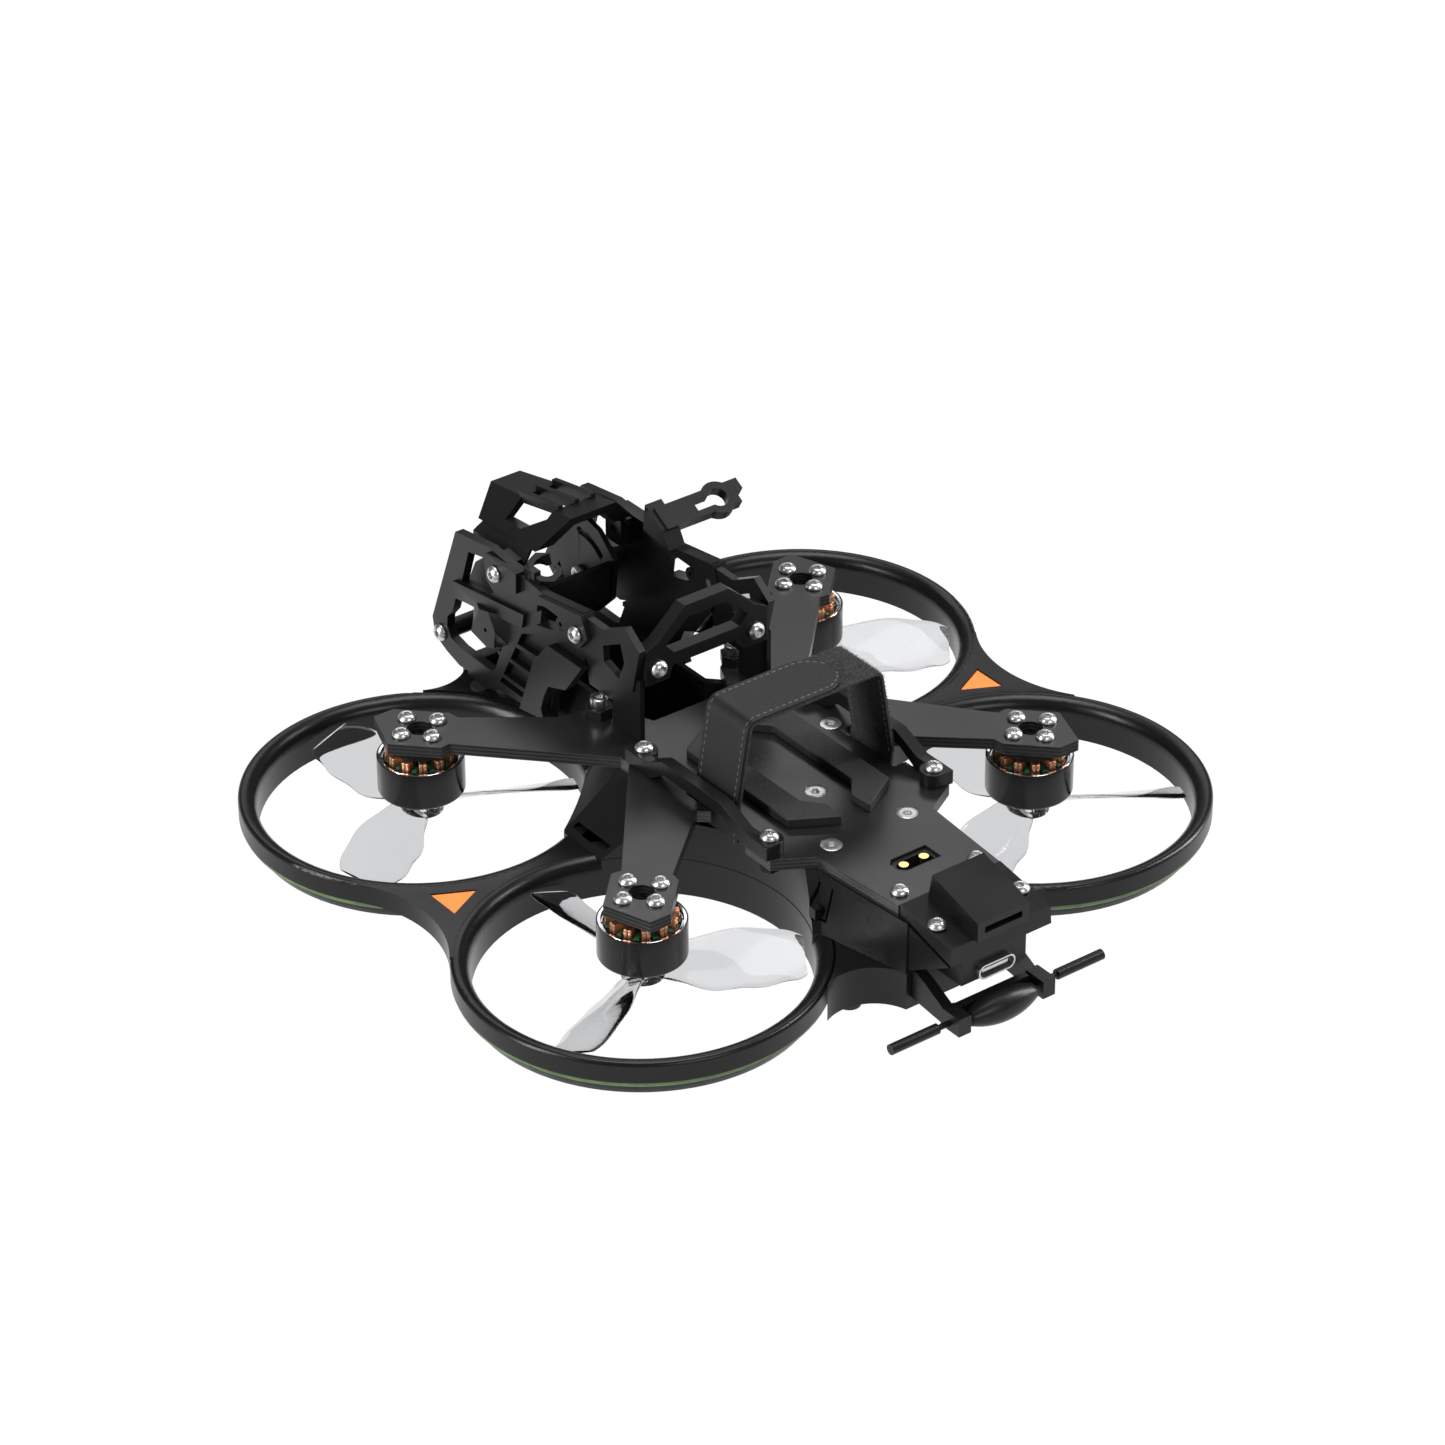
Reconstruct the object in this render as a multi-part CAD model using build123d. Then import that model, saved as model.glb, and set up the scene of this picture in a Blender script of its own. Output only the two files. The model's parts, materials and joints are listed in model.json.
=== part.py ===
from build123d import *
from math import atan2, cos, degrees, radians, sin, sqrt
import os

os.makedirs("parts", exist_ok=True)

# Ducted racing drone with four inverted motors.
# The model is built in airframe coordinates: x to the right, y forward, z up, with z = 0 on the top
# of the carbon plate and x = y = 0 midway between the four motors. The last step moves it so that
# the origin is the middle of the bounding box's floor, where the rubber feet stand.

# ---------------------------------------------------------------- driving dimensions, millimetres
MOTOR_SPAN_X = 97.4
MOTOR_SPAN_Y = 75.2
PLATE_THICKNESS = 2.5
DUCT_OUTER_R = 37.3
DUCT_THROAT_R = 33.4
DUCT_TOP_Z = -13.9
DUCT_SKIRT_Z = -22.3
DUCT_WALL_Z = -18.3
PROP_R = 31.6
BELL_R = 8.95
MOTOR_PCD = 9.0
FOOT_BOTTOM_Z = -26.0
FRONT_END_Y = 79.2
REAR_END_Y = -91.0
CAGE_X = 17.0
WALL = 1.2
SCREW_R = 1.0
HOLE_GAP = 0.06

MOTOR_X = MOTOR_SPAN_X / 2
MOTOR_Y = MOTOR_SPAN_Y / 2
PLATE_BOTTOM_Z = -PLATE_THICKNESS
MIDDLE_Y = (FRONT_END_Y + REAR_END_Y) / 2

# corner name: side across (-1 left), side along (1 front), turning sense of the propeller, rest angle
ROTORS = {
    "front_left": (-1, 1, -1, -27.0),
    "rear_left": (-1, -1, 1, -31.0),
    "rear_right": (1, -1, -1, -33.0),
    "front_right": (1, 1, 1, -35.0),
}


# ---------------------------------------------------------------- small helpers
def flat_xy(points, z_low, z_high):
    """Prism over a plan outline."""
    face = make_face(Polyline(*points, close=True))
    return Pos(0, 0, z_low) * extrude(face, z_high - z_low, dir=(0, 0, 1))


def flat_yz(points, x_low, x_high):
    """Prism over a side-view outline, given as (y, z) points."""
    face = make_face(Plane.YZ * Polyline(*points, close=True))
    return Pos(x_low, 0, 0) * extrude(face, x_high - x_low, dir=(1, 0, 0))


def flat_xz(points, y_low, y_high):
    """Prism over a front-view outline, given as (x, z) points."""
    face = make_face(Plane.XZ * Polyline(*points, close=True))
    return Pos(0, y_low, 0) * extrude(face, y_high - y_low, dir=(0, 1, 0))


def block(x_low, x_high, y_low, y_high, z_low, z_high):
    size = Box(x_high - x_low, y_high - y_low, z_high - z_low)
    return Pos((x_low + x_high) / 2, (y_low + y_high) / 2, (z_low + z_high) / 2) * size


def post(x, y, z_low, z_high, radius):
    return Pos(x, y, (z_low + z_high) / 2) * Cylinder(radius, z_high - z_low)


def cross_pin(x_low, x_high, y, z, radius):
    """Cylinder lying along x."""
    return Pos((x_low + x_high) / 2, y, z) * Rot(0, 90, 0) * Cylinder(radius, x_high - x_low)


def mirrored_pair(points):
    """Closed outline from its right half, listed from rear to front."""
    return points + [(-x, y) for x, y in reversed(points)]


def mirror_x(shape):
    return mirror(shape, about=Plane.YZ)


def both_sides(shape):
    return [shape, mirror_x(shape)]


def button_screw(length, head_r=1.9, head_h=1.3, shank_r=SCREW_R):
    """Button-head socket screw, head above z = 0 and shank below."""
    head = Pos(0, 0, head_h / 2) * Cylinder(head_r, head_h)
    head = fillet(head.edges().group_by(Axis.Z)[-1], 0.7)
    shank = Pos(0, 0, -length / 2) * Cylinder(shank_r, length)
    socket = extrude(RegularPolygon(head_r * 0.36, 6), head_h * 0.7)
    return head + shank - Pos(0, 0, head_h * 0.5) * socket


def bar_screw_rear():
    """Through screw with a nut under the plate."""
    nut = Pos(0, 0, -7.2) * extrude(RegularPolygon(2.1, 6), 1.6)
    return button_screw(7.0) + nut


def flush_screw(length, head_r=2.2, head_h=1.1):
    """Countersunk socket screw, its flat head level with z = 0."""
    cone = Pos(0, 0, -head_h / 2) * Cone(SCREW_R, head_r, head_h)
    shank = Pos(0, 0, -length / 2) * Cylinder(SCREW_R, length)
    socket = extrude(RegularPolygon(0.75, 6), 1.0)
    return cone + shank - Pos(0, 0, -0.6) * socket


def screw_hole(x, y, z_low, z_high, radius=SCREW_R):
    return post(x, y, z_low, z_high, radius + HOLE_GAP)


def motor_places():
    return [(name, sx * MOTOR_X, sy * MOTOR_Y) for name, (sx, sy, _, _) in ROTORS.items()]


# ---------------------------------------------------------------- duct guards
RING_LIP_R = 35.9
LED_INNER_R = 35.7
WEB_FILLET_R = 28.0
WEB_SPLIT_X = 34.0
WEB_TOP_Z = DUCT_TOP_Z - 0.1
INSERT_BASE_X = 69.8
INSERT_APEX_X = 61.4
INSERT_HALF = 4.3
INSERT_DEPTH = 0.7
LED_ARC_HALF = 88
TUB_END_Y = 74.5
UPPER_FRONT_Y = 48.0
# right half of the sloping body wall, at the deck and at the rings
WALL_TOP = [(12.9, -TUB_END_Y), (14.9, -48.8), (22.6, -44.2), (22.8, -36.0), (23.2, -12.0), (23.2, 4.0),
            (20.0, 12.0), (11.0, 21.0), (11.0, UPPER_FRONT_Y)]
WALL_LOW = [(13.2, -TUB_END_Y), (17.5, -54.0), (27.0, -46.0), (31.0, -38.0), (36.0, -12.0), (36.0, 6.0),
            (28.0, 16.0), (14.5, 25.0), (14.5, UPPER_FRONT_Y)]


def duct_ring():
    """Moulded ring with a bell-mouth lip, an outer wall and a longer inner skirt."""
    outline = [
        Line((DUCT_THROAT_R, DUCT_SKIRT_Z), (34.6, DUCT_SKIRT_Z)),
        Line((34.6, DUCT_SKIRT_Z), (LED_INNER_R, -20.1)),
        Line((LED_INNER_R, -20.1), (LED_INNER_R, DUCT_WALL_Z)),
        Line((LED_INNER_R, DUCT_WALL_Z), (DUCT_OUTER_R, DUCT_WALL_Z)),
        Line((DUCT_OUTER_R, DUCT_WALL_Z), (DUCT_OUTER_R, DUCT_TOP_Z - 0.9)),
        ThreePointArc((DUCT_OUTER_R, DUCT_TOP_Z - 0.9), (37.0, DUCT_TOP_Z - 0.26), (36.4, DUCT_TOP_Z)),
        Line((36.4, DUCT_TOP_Z), (RING_LIP_R, DUCT_TOP_Z)),
        ThreePointArc((RING_LIP_R, DUCT_TOP_Z), (34.15, DUCT_TOP_Z - 1.0), (DUCT_THROAT_R, -17.2)),
        Line((DUCT_THROAT_R, -17.2), (DUCT_THROAT_R, DUCT_SKIRT_Z)),
    ]
    return revolve(Plane.XZ * make_face(outline), Axis.Z)


def web_plan():
    """Web between the two rings of the left side, hollowed outside by a large fillet."""
    reach = sqrt((DUCT_OUTER_R + WEB_FILLET_R) ** 2 - MOTOR_Y ** 2)
    tip_x = -MOTOR_X - reach
    plan = make_face(Polyline((-MOTOR_X, MOTOR_Y), (tip_x, 0), (-MOTOR_X, -MOTOR_Y), close=True))
    plan += Pos(-(MOTOR_X + WEB_SPLIT_X) / 2, 0) * Rectangle(MOTOR_X - WEB_SPLIT_X, 40)
    plan -= Pos(tip_x, 0) * Circle(WEB_FILLET_R)
    for side in (-1, 1):
        plan -= Pos(-MOTOR_X, side * MOTOR_Y) * Circle(DUCT_OUTER_R - 0.6)
    return plan


def insert_outline(shrink=0.0):
    base_x = -INSERT_BASE_X + shrink
    apex_x = -INSERT_APEX_X - 1.8 * shrink
    half = INSERT_HALF - 1.6 * shrink
    return [(base_x, half), (apex_x, 0), (base_x, -half)]


def lip_fill(side_y):
    """Solid lip where the body's sloping wall stands on the ring, so that it drops straight inside."""
    ring = post(-MOTOR_X, side_y * MOTOR_Y, -17.3, DUCT_TOP_Z, RING_LIP_R + 0.3)
    ring -= post(-MOTOR_X, side_y * MOTOR_Y, -17.3, DUCT_TOP_Z, DUCT_THROAT_R)
    return ring & flat_xy(mirrored_pair(WALL_LOW), -17.3, DUCT_TOP_Z)


def duct_guard_left():
    guard = Pos(-MOTOR_X, MOTOR_Y) * duct_ring() + Pos(-MOTOR_X, -MOTOR_Y) * duct_ring()
    guard += Pos(0, 0, DUCT_WALL_Z) * extrude(web_plan(), WEB_TOP_Z - DUCT_WALL_Z, dir=(0, 0, 1))
    guard += lip_fill(1)
    guard += lip_fill(-1)
    return guard - flat_xy(insert_outline(), WEB_TOP_Z - INSERT_DEPTH, WEB_TOP_Z + 1)


def web_insert_left():
    return flat_xy(insert_outline(0.08), WEB_TOP_Z - INSERT_DEPTH, WEB_TOP_Z - 0.25)


def led_strip(side_x, side_y):
    """Light strip under the outer wall of one ring, over its outboard half."""
    inner_r = LED_INNER_R + 0.05
    top_z = DUCT_WALL_Z - 0.05
    outline = [(inner_r, top_z), (37.0, top_z), (37.0, -19.1), (36.1, -19.9), (inner_r, -19.9)]
    facing = degrees(atan2(side_y, side_x))
    strip = revolve(make_face(Plane.XZ * Polyline(*outline, close=True)), Axis.Z, 2 * LED_ARC_HALF)
    return Pos(side_x * MOTOR_X, side_y * MOTOR_Y) * Rot(0, 0, facing - LED_ARC_HALF) * strip


# ---------------------------------------------------------------- carbon plate
PAD_OUTLINE = [(-1.4, -8.5), (0.8, -8.8), (8.5, -1.0), (4.8, 9.3), (0.0, 9.3), (-8.2, 1.0), (-8.5, -1.4)]
FRONT_ARM_ROOT = [(23.5, 23.6), (19.5, 23.4), (13.6, 19.5), (9.5, 10.9), (9.0, 3.0), (23.2, 3.9)]
REAR_ARM_ROOT = [(23.1, 21.2), (19.3, 24.2), (12.0, 24.0), (12.0, -1.0), (23.2, -1.1)]
CENTRE_HOLE_R = 2.6
CENTRE_SCREW = (0, -29.6)
FLOOR_SCREWS = [(9.5, -46.7), (-9.5, -46.7)]
RIB_SCREWS = [(18.0, -11.5), (-18.0, -11.5)]
FLUSH_SCREWS = [CENTRE_SCREW] + FLOOR_SCREWS + RIB_SCREWS
BAR_SCREWS_FRONT = [(20.5, -0.4), (-20.5, -0.4)]
BAR_SCREWS_REAR = [(20.5, -41.2), (-20.5, -41.2)]
BAR_SCREWS = BAR_SCREWS_FRONT + BAR_SCREWS_REAR
REAR_SCREWS_FRONT = [(9.5, -67.9), (-9.5, -67.9)]
REAR_SCREWS_BACK = [(10.3, -80.2), (-10.3, -80.2)]
STANDOFFS = [(17.0, 19.5), (-17.0, 19.5)]
STANDOFF_TOP_Z = 2.3
PLATE_REAR_Y = -71.3
CONNECTOR_Y = -60.4
CONNECTOR_HALF_X = 4.9
CONNECTOR_HALF_Y = 2.5
SLOT_X = (17.9, 20.9)
SLOT_Y = (-32.0, -14.6)


def arm_plan(side_x, side_y, root):
    pad = [(side_x * (MOTOR_X + p), side_y * (MOTOR_Y + q)) for p, q in PAD_OUTLINE]
    return pad + [(side_x * x, side_y * y) for x, y in root]


def connector_outline(grow=0.0):
    half_x = CONNECTOR_HALF_X + grow
    half_y = CONNECTOR_HALF_Y + grow
    rear_y = CONNECTOR_Y - half_y
    front_y = CONNECTOR_Y + half_y
    return [(1.2 - half_x, rear_y), (half_x, rear_y), (half_x, front_y), (1.2 - half_x, front_y),
            (-half_x, front_y - 1.2), (-half_x, rear_y + 1.2)]


def motor_screw_places():
    half = MOTOR_PCD / 2
    spots = [(half, 0), (-half, 0), (0, half), (0, -half)]
    return [(x + dx, y + dy) for _, x, y in motor_places() for dx, dy in spots]


def main_plate():
    deck = mirrored_pair([(12.6, PLATE_REAR_Y), (14.4, -48.5), (22.4, -43.9), (22.4, -36.0),
                          (20.9, -34.0), (20.9, -8.0), (23.2, -4.0), (23.2, 4.6), (10.0, 11.0)])
    plate = flat_xy(deck, PLATE_BOTTOM_Z, 0)
    for side_x in (-1, 1):
        plate += flat_xy(arm_plan(side_x, 1, FRONT_ARM_ROOT), PLATE_BOTTOM_Z, 0)
        plate += flat_xy(arm_plan(side_x, -1, REAR_ARM_ROOT), PLATE_BOTTOM_Z, 0)
        slot_x = sorted((side_x * SLOT_X[0], side_x * SLOT_X[1]))
        plate -= block(*slot_x, *SLOT_Y, PLATE_BOTTOM_Z, 0)
    for _, x, y in motor_places():
        plate -= post(x, y, PLATE_BOTTOM_Z, 0, CENTRE_HOLE_R)
    for x, y in motor_screw_places() + FLUSH_SCREWS + BAR_SCREWS + REAR_SCREWS_FRONT + STANDOFFS:
        plate -= screw_hole(x, y, PLATE_BOTTOM_Z, 0)
    for x, y in FLUSH_SCREWS:
        plate -= Pos(x, y, -0.55) * Cone(SCREW_R + 0.1, 2.3, 1.2)
    return plate - flat_xy(connector_outline(), PLATE_BOTTOM_Z, 0)


# ---------------------------------------------------------------- moulded body tub
TAIL_HALF = 12.6
NOSE_FILLET_R = 10.0
UPPER_DUCT_CLEAR_R = 33.5
TAIL_TIP_Y = -86.6
FEET = [(17.0, -62.0), (17.0, 62.0), (-17.0, -62.0), (-17.0, 62.0)]
FOOT_R = 2.4
BOSS_R = 2.2
STACK_PITCH = 25.5
STACK_TOP_Z = -12.7
STRAP_PASS_Z = -5.3
NOSE_BAY = (-10.6, 10.6, 48.8, 71.2)
SNAP_Y = (-54.0, -50.4)
SNAP_Z = (-11.0, -4.4)


def stack_places():
    half = STACK_PITCH / 2
    return [(half, half), (half, -half), (-half, half), (-half, -half)]


def tub_plan(inset):
    """Body outline between the ducts, with filled corners at nose and tail."""
    fill_x = TAIL_HALF + NOSE_FILLET_R
    fill_y = MOTOR_Y + sqrt((DUCT_OUTER_R + NOSE_FILLET_R) ** 2 - (MOTOR_X - fill_x) ** 2)
    plan = Rectangle(2 * (WEB_SPLIT_X - inset), 137.4) + Rectangle(2 * fill_x, 2 * (TUB_END_Y - inset))
    for _, x, y in motor_places():
        plan -= Pos(x, y) * Circle(DUCT_OUTER_R + 0.05 + inset)
    for side_x in (-1, 1):
        for side_y in (-1, 1):
            plan -= Pos(side_x * fill_x, side_y * fill_y) * Circle(NOSE_FILLET_R + inset)
    return plan


def upper_walls(inset):
    """Sloping block between the deck edge and the duct rings."""
    sections = []
    for points, z in ((WALL_LOW, DUCT_TOP_Z + inset), (WALL_TOP, PLATE_BOTTOM_Z)):
        outline = [(x - inset, y + (inset if y < 0 else -inset)) for x, y in points]
        sections.append(make_face(Pos(0, 0, z) * Polyline(*mirrored_pair(outline), close=True)))
    walls = loft(sections, ruled=True)
    for _, x, y in motor_places():
        walls -= post(x, y, DUCT_SKIRT_Z, 0, UPPER_DUCT_CLEAR_R + inset)
    return walls


def tub_block(inset):
    floor_z = DUCT_SKIRT_Z + inset
    height = DUCT_TOP_Z - inset - floor_z
    lower = Pos(0, 0, floor_z) * extrude(tub_plan(inset), height, dir=(0, 0, 1))
    return lower + upper_walls(inset)


def tub_throat():
    """Way between the lower pan and the space inside the sloping walls."""
    outline = [(x - WALL, y + (WALL if y < 0 else -WALL)) for x, y in WALL_LOW]
    throat = flat_xy(mirrored_pair(outline), DUCT_TOP_Z - WALL - 0.1, DUCT_TOP_Z + WALL + 0.1)
    for _, x, y in motor_places():
        throat -= post(x, y, DUCT_SKIRT_Z, 0, DUCT_OUTER_R + 0.05 + WALL)
    return throat


def body_tub():
    tub = tub_block(0) - tub_block(WALL) - tub_throat() - block(*NOSE_BAY, -16.0, DUCT_TOP_Z)
    for side_x in (-1, 1):
        cheek_x = sorted((side_x * TAIL_HALF, side_x * (TAIL_HALF - WALL)))
        cheek = [(-73.5, -2.8), (TAIL_TIP_Y, -6.1), (-75.0, -13.0), (-73.5, -13.0)]
        tub += flat_yz(cheek, *cheek_x)
    for x, y in FEET:
        tub += post(x, y, DUCT_SKIRT_Z, DUCT_TOP_Z, FOOT_R)
    for x, y in stack_places():
        tub += post(x, y, DUCT_SKIRT_Z, STACK_TOP_Z, BOSS_R)
    for side_x in (-1, 1):
        pass_x = sorted((side_x * 12.0, side_x * 26.0))
        tub -= block(*pass_x, SLOT_Y[0], SLOT_Y[1], STRAP_PASS_Z, PLATE_BOTTOM_Z)
    for x, y in FLOOR_SCREWS:
        tub += post(x, y, DUCT_SKIRT_Z, PLATE_BOTTOM_Z, BOSS_R)
    tub += post(*CENTRE_SCREW, DUCT_SKIRT_Z, -5.4, BOSS_R)
    for x, y in RIB_SCREWS + REAR_SCREWS_FRONT:
        rib_x = sorted((x, 1.3 * x))
        tub += post(x, y, -7.5, PLATE_BOTTOM_Z, BOSS_R) + block(*rib_x, y - 0.8, y + 0.8, -7.5, -3.0)
    for x, y in BAR_SCREWS_FRONT:
        tub += post(x, y, -9.0, PLATE_BOTTOM_Z, BOSS_R)
    for x, y in REAR_SCREWS_BACK:
        tub += post(x, y, -8.6, -5.2, 1.9)
    for x, y in FLUSH_SCREWS + BAR_SCREWS_FRONT + REAR_SCREWS_FRONT + REAR_SCREWS_BACK:
        tub -= screw_hole(x, y, -8.0, PLATE_BOTTOM_Z)
    for side_x in (-1, 1):
        slot_x = sorted((side_x * 13.4, side_x * 22.0))
        tab_x = sorted((side_x * 16.8, side_x * 18.5))
        for y in SNAP_Y:
            tub -= block(*slot_x, y - 0.25, y + 0.25, *SNAP_Z)
        tub -= block(*slot_x, SNAP_Y[0] - 0.25, SNAP_Y[1] + 0.25, SNAP_Z[0] - 0.5, SNAP_Z[0])
        tub += block(*tab_x, SNAP_Y[0] + 0.9, SNAP_Y[1] - 0.9, SNAP_Z[0] + 0.4, SNAP_Z[0] + 2.6)
    for x, y in stack_places():
        tub -= screw_hole(x, y, STACK_TOP_Z - 4.0, STACK_TOP_Z)
    return tub


# ---------------------------------------------------------------- deck: rails, bars, strap, connector
RAIL_HEIGHT = 2.0
PAD_TOP_Z = 3.1
BAR_X = (20.6, 23.3)
STRAP_TOP_Z = 22.5
STRAP_Y = (-30.0, -16.9)
STRAP_THICKNESS = 1.3
STRAP_HALF = [(17.0, STRAP_TOP_Z), (20.3, 2.6), (19.9, -1.0), (19.9, -4.3)]


def battery_rail():
    outline = [(12.8, -4.0), (12.8, -37.0), (3.4, -42.5), (3.0, -37.1), (6.4, -32.8), (6.4, -7.6),
               (2.9, -4.0), (3.4, 1.4)]
    return flat_xy(outline, 0, RAIL_HEIGHT)


def strap_bar_right():
    """Raised bar the strap passes inside, screwed down at both ends."""
    profile = [(2.4, 0), (2.4, PAD_TOP_Z), (-4.5, PAD_TOP_Z), (-10.0, 6.0), (-29.0, 6.0),
               (-36.0, PAD_TOP_Z), (-44.0, PAD_TOP_Z), (-44.0, 0), (-35.5, 0), (-30.0, 3.0),
               (-10.5, 3.0), (-6.0, 0)]
    bar = flat_yz(profile, *BAR_X)
    for x, y in (BAR_SCREWS_FRONT[0], BAR_SCREWS_REAR[0]):
        bar += post(x, y, 0, PAD_TOP_Z, 2.8)
        bar -= screw_hole(x, y, 0, PAD_TOP_Z)
    return bar


def battery_strap():
    """Closed webbing loop standing over the deck and passing under the plate."""
    half = STRAP_HALF
    outer = half + [(-x, z) for x, z in reversed(half)]
    grow = STRAP_THICKNESS
    inner_half = [(half[0][0] - grow, half[0][1] - grow), (half[1][0] - grow, half[1][1]),
                  (half[2][0] - grow, half[2][1]), (half[3][0] - grow, half[3][1] + grow)]
    inner = inner_half + [(-x, z) for x, z in reversed(inner_half)]
    loop = flat_xz(outer, *STRAP_Y) - flat_xz(inner, *STRAP_Y)
    return loop - block(-16, 16, STRAP_Y[0], -28.3, -5, PLATE_BOTTOM_Z)


PIN_X = 2.5
PIN_R = 1.0


def battery_connector():
    body = flat_xy(connector_outline(-0.15), -11.0, -0.6) - flat_xy(connector_outline(-0.95), -7.4, 0)
    for side_x in (-1, 1):
        body -= post(side_x * PIN_X, CONNECTOR_Y, -11.0, 0, PIN_R)
    return body


# ---------------------------------------------------------------- rear cover, board, antenna
COVER_HALF = 12.4
ANTENNA_Y = -86.35
ANTENNA_Z = -19.3
POD_R = 3.3


def rear_cover():
    base = [(-71.6, -2.5), (-71.6, 0.4), (-86.8, -2.0), (-87.2, -5.8), (-75.0, -2.5)]
    hump = [(-72.6, 0.0), (-73.7, 5.8), (-87.6, 1.85), (-87.6, -2.4), (-80.0, -1.6)]
    cover = flat_yz(base, -COVER_HALF, COVER_HALF) + flat_yz(hump, -6.4, 6.4)
    cover -= block(-4.6, 4.6, -88.0, -84.6, -0.9, 0.5)
    for x, y in REAR_SCREWS_BACK:
        cover -= screw_hole(x, y, -8, 1)
        cover -= post(x, y, -0.9, 2.0, 2.0)
    return cover


def usb_port():
    shell = Pos(0, -82.9, -11.4) * Rot(90, 0, 0) * extrude(RectangleRounded(9.0, 3.2, 1.5), 3.2, both=True)
    cavity = Pos(0, -85.0, -11.4) * Rot(90, 0, 0) * extrude(RectangleRounded(8.3, 2.5, 1.2), 2.5, both=True)
    tongue = block(-3.2, 3.2, -85.4, -82.0, -11.75, -11.05)
    return shell - cavity + tongue


def rear_board_case():
    case = block(-8, 8, -85.0, -74.6, -13.2, -6.6)
    pocket = Pos(0, -82.9, -11.4) * Rot(90, 0, 0) * extrude(RectangleRounded(9.0, 3.2, 1.5), 3.2, both=True)
    return case - pocket


def antenna_pod():
    """Barrel bulging out between the two clip blocks."""
    outline = [
        Line((-8.0, 0), (-8.0, 1.5)),
        ThreePointArc((-8.0, 1.5), (0, POD_R), (8.0, 1.5)),
        Line((8.0, 1.5), (8.0, 0)),
        Line((8.0, 0), (-8.0, 0)),
    ]
    return Pos(0, REAR_END_Y + POD_R, ANTENNA_Z) * revolve(make_face(outline), Axis.X)


def antenna_mount():
    """Bracket on the tub's rear wall with two clip blocks and a middle pod around the rod."""
    arm = [(-74.6, -13.4), (-74.6, -20.0), (-84.4, -21.0), (-84.4, -17.6), (-78.0, -14.4)]
    mount = block(-11.6, 11.6, -76.2, -74.6, -20.0, -13.6) + antenna_pod()
    mount += block(-12.0, 12.0, -85.4, -83.8, -20.8, -17.4)
    for side_x in (-1, 1):
        arm_x = sorted((side_x * 9.2, side_x * 11.6))
        clip_x = sorted((side_x * 9.0, side_x * 12.0))
        mount += flat_yz(arm, *arm_x) + block(*clip_x, -89.4, -84.0, -21.0, -17.0)
    return mount - cross_pin(-13, 13, ANTENNA_Y, ANTENNA_Z, 0.65)


def tee_antenna():
    rod = cross_pin(-26.4, 26.4, ANTENNA_Y, ANTENNA_Z, 0.6)
    for side_x in (-1, 1):
        sleeve_x = sorted((side_x * 14.9, side_x * 26.4))
        rod += cross_pin(*sleeve_x, ANTENNA_Y, ANTENNA_Z, 1.1)
    return rod


# ---------------------------------------------------------------- electronics inside the tub
BOARD_Z = (-10.6, -9.0)
BOARD_HALF = 16.5


def flight_controller():
    board = block(-BOARD_HALF, BOARD_HALF, -BOARD_HALF, BOARD_HALF, *BOARD_Z)
    board = chamfer(board.edges().filter_by(Axis.Z), 2.4)
    for x, y in stack_places():
        board -= post(x, y, *BOARD_Z, 2.0)
    chips = [(-4.0, 4.0, -4.0, 4.0), (-8.0, -5.0, 6.0, 9.0), (5.5, 9.5, -9.0, -5.5), (5.5, 8.5, 6.0, 11.0)]
    for x_low, x_high, y_low, y_high in chips:
        board += block(x_low, x_high, y_low, y_high, BOARD_Z[1], BOARD_Z[1] + 1.2)
    return board


def grommet(x, y):
    """Rubber bush with a waist that sits in the board's corner hole."""
    bush = post(x, y, STACK_TOP_Z + 0.1, BOARD_Z[0] - 0.1, 2.7) + post(x, y, BOARD_Z[1] + 0.1, -7.4, 2.7)
    return bush + post(x, y, STACK_TOP_Z + 0.1, -7.4, 1.9) - screw_hole(x, y, STACK_TOP_Z, -7)


def power_capacitor():
    can = Pos(0, -44.0, -17.0) * Rot(90, 0, 0) * Cylinder(4.0, 16.0)
    return fillet(can.edges(), 0.4)


def radio_receiver():
    board = block(-6, 6, 28, 46, -20.9, -19.9) + block(-4, 4, 30, 38, -19.9, -18.4)
    return board + block(-3, 3, 40, 44, -19.9, -18.9)


def battery_lead(side_x):
    rear = (side_x * PIN_X, CONNECTOR_Y, -12.3)
    path = Spline(rear, (side_x * 4.8, -54.0, -12.6), (side_x * 5.6, -44.0, -11.0),
                  (side_x * 6.0, -30.0, -10.4), (side_x * 6.0, -17.0, -9.8))
    profile = Plane(origin=rear, z_dir=path % 0) * Circle(1.1)
    return sweep(profile, path)


# ---------------------------------------------------------------- camera cage
SIDE_INNER_X = 15.0
PIVOT = (62.0, 4.2)
PIVOT_SLEEVE_X = (10.9, 14.95)
UPPER_BOLT = (53.6, 17.6)
MIDDLE_BOLT = (25.4, 16.6)
FRONT_BOLT = (76.0, -7.2)
PROUD_X = 18.2
ROLL_BAR_Y = (5.7, 8.7)
ROLL_BOLT = (12.2, 15.8)
BOSS_FACE_X = 19.2
CLIP_SEAT = 14.8


def hex_boss():
    """Faceted boss hanging from the crossbar, its foot carrying the cradle's pivot."""
    foot = [(64.4, 7.0), (51.0, 8.0), (51.0, 0.4), (56.0, -1.6), (63.6, -1.2), (64.6, 2.0)]
    face = [(58.5, 7.4), (55.2, 8.2), (52.9, 4.4), (53.4, 0.5), (56.0, -0.7), (61.6, 0.6)]
    sections = [make_face(Plane.YZ.offset(x) * Polyline(*points, close=True))
                for points, x in ((foot, SIDE_INNER_X + 1.4), (face, BOSS_FACE_X))]
    boss = flat_yz(foot, SIDE_INNER_X, SIDE_INNER_X + 1.4) + loft(sections, ruled=True)
    return boss - cross_pin(BOSS_FACE_X - 1.6, BOSS_FACE_X, 56.4, 3.3, 0.5)


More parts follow.
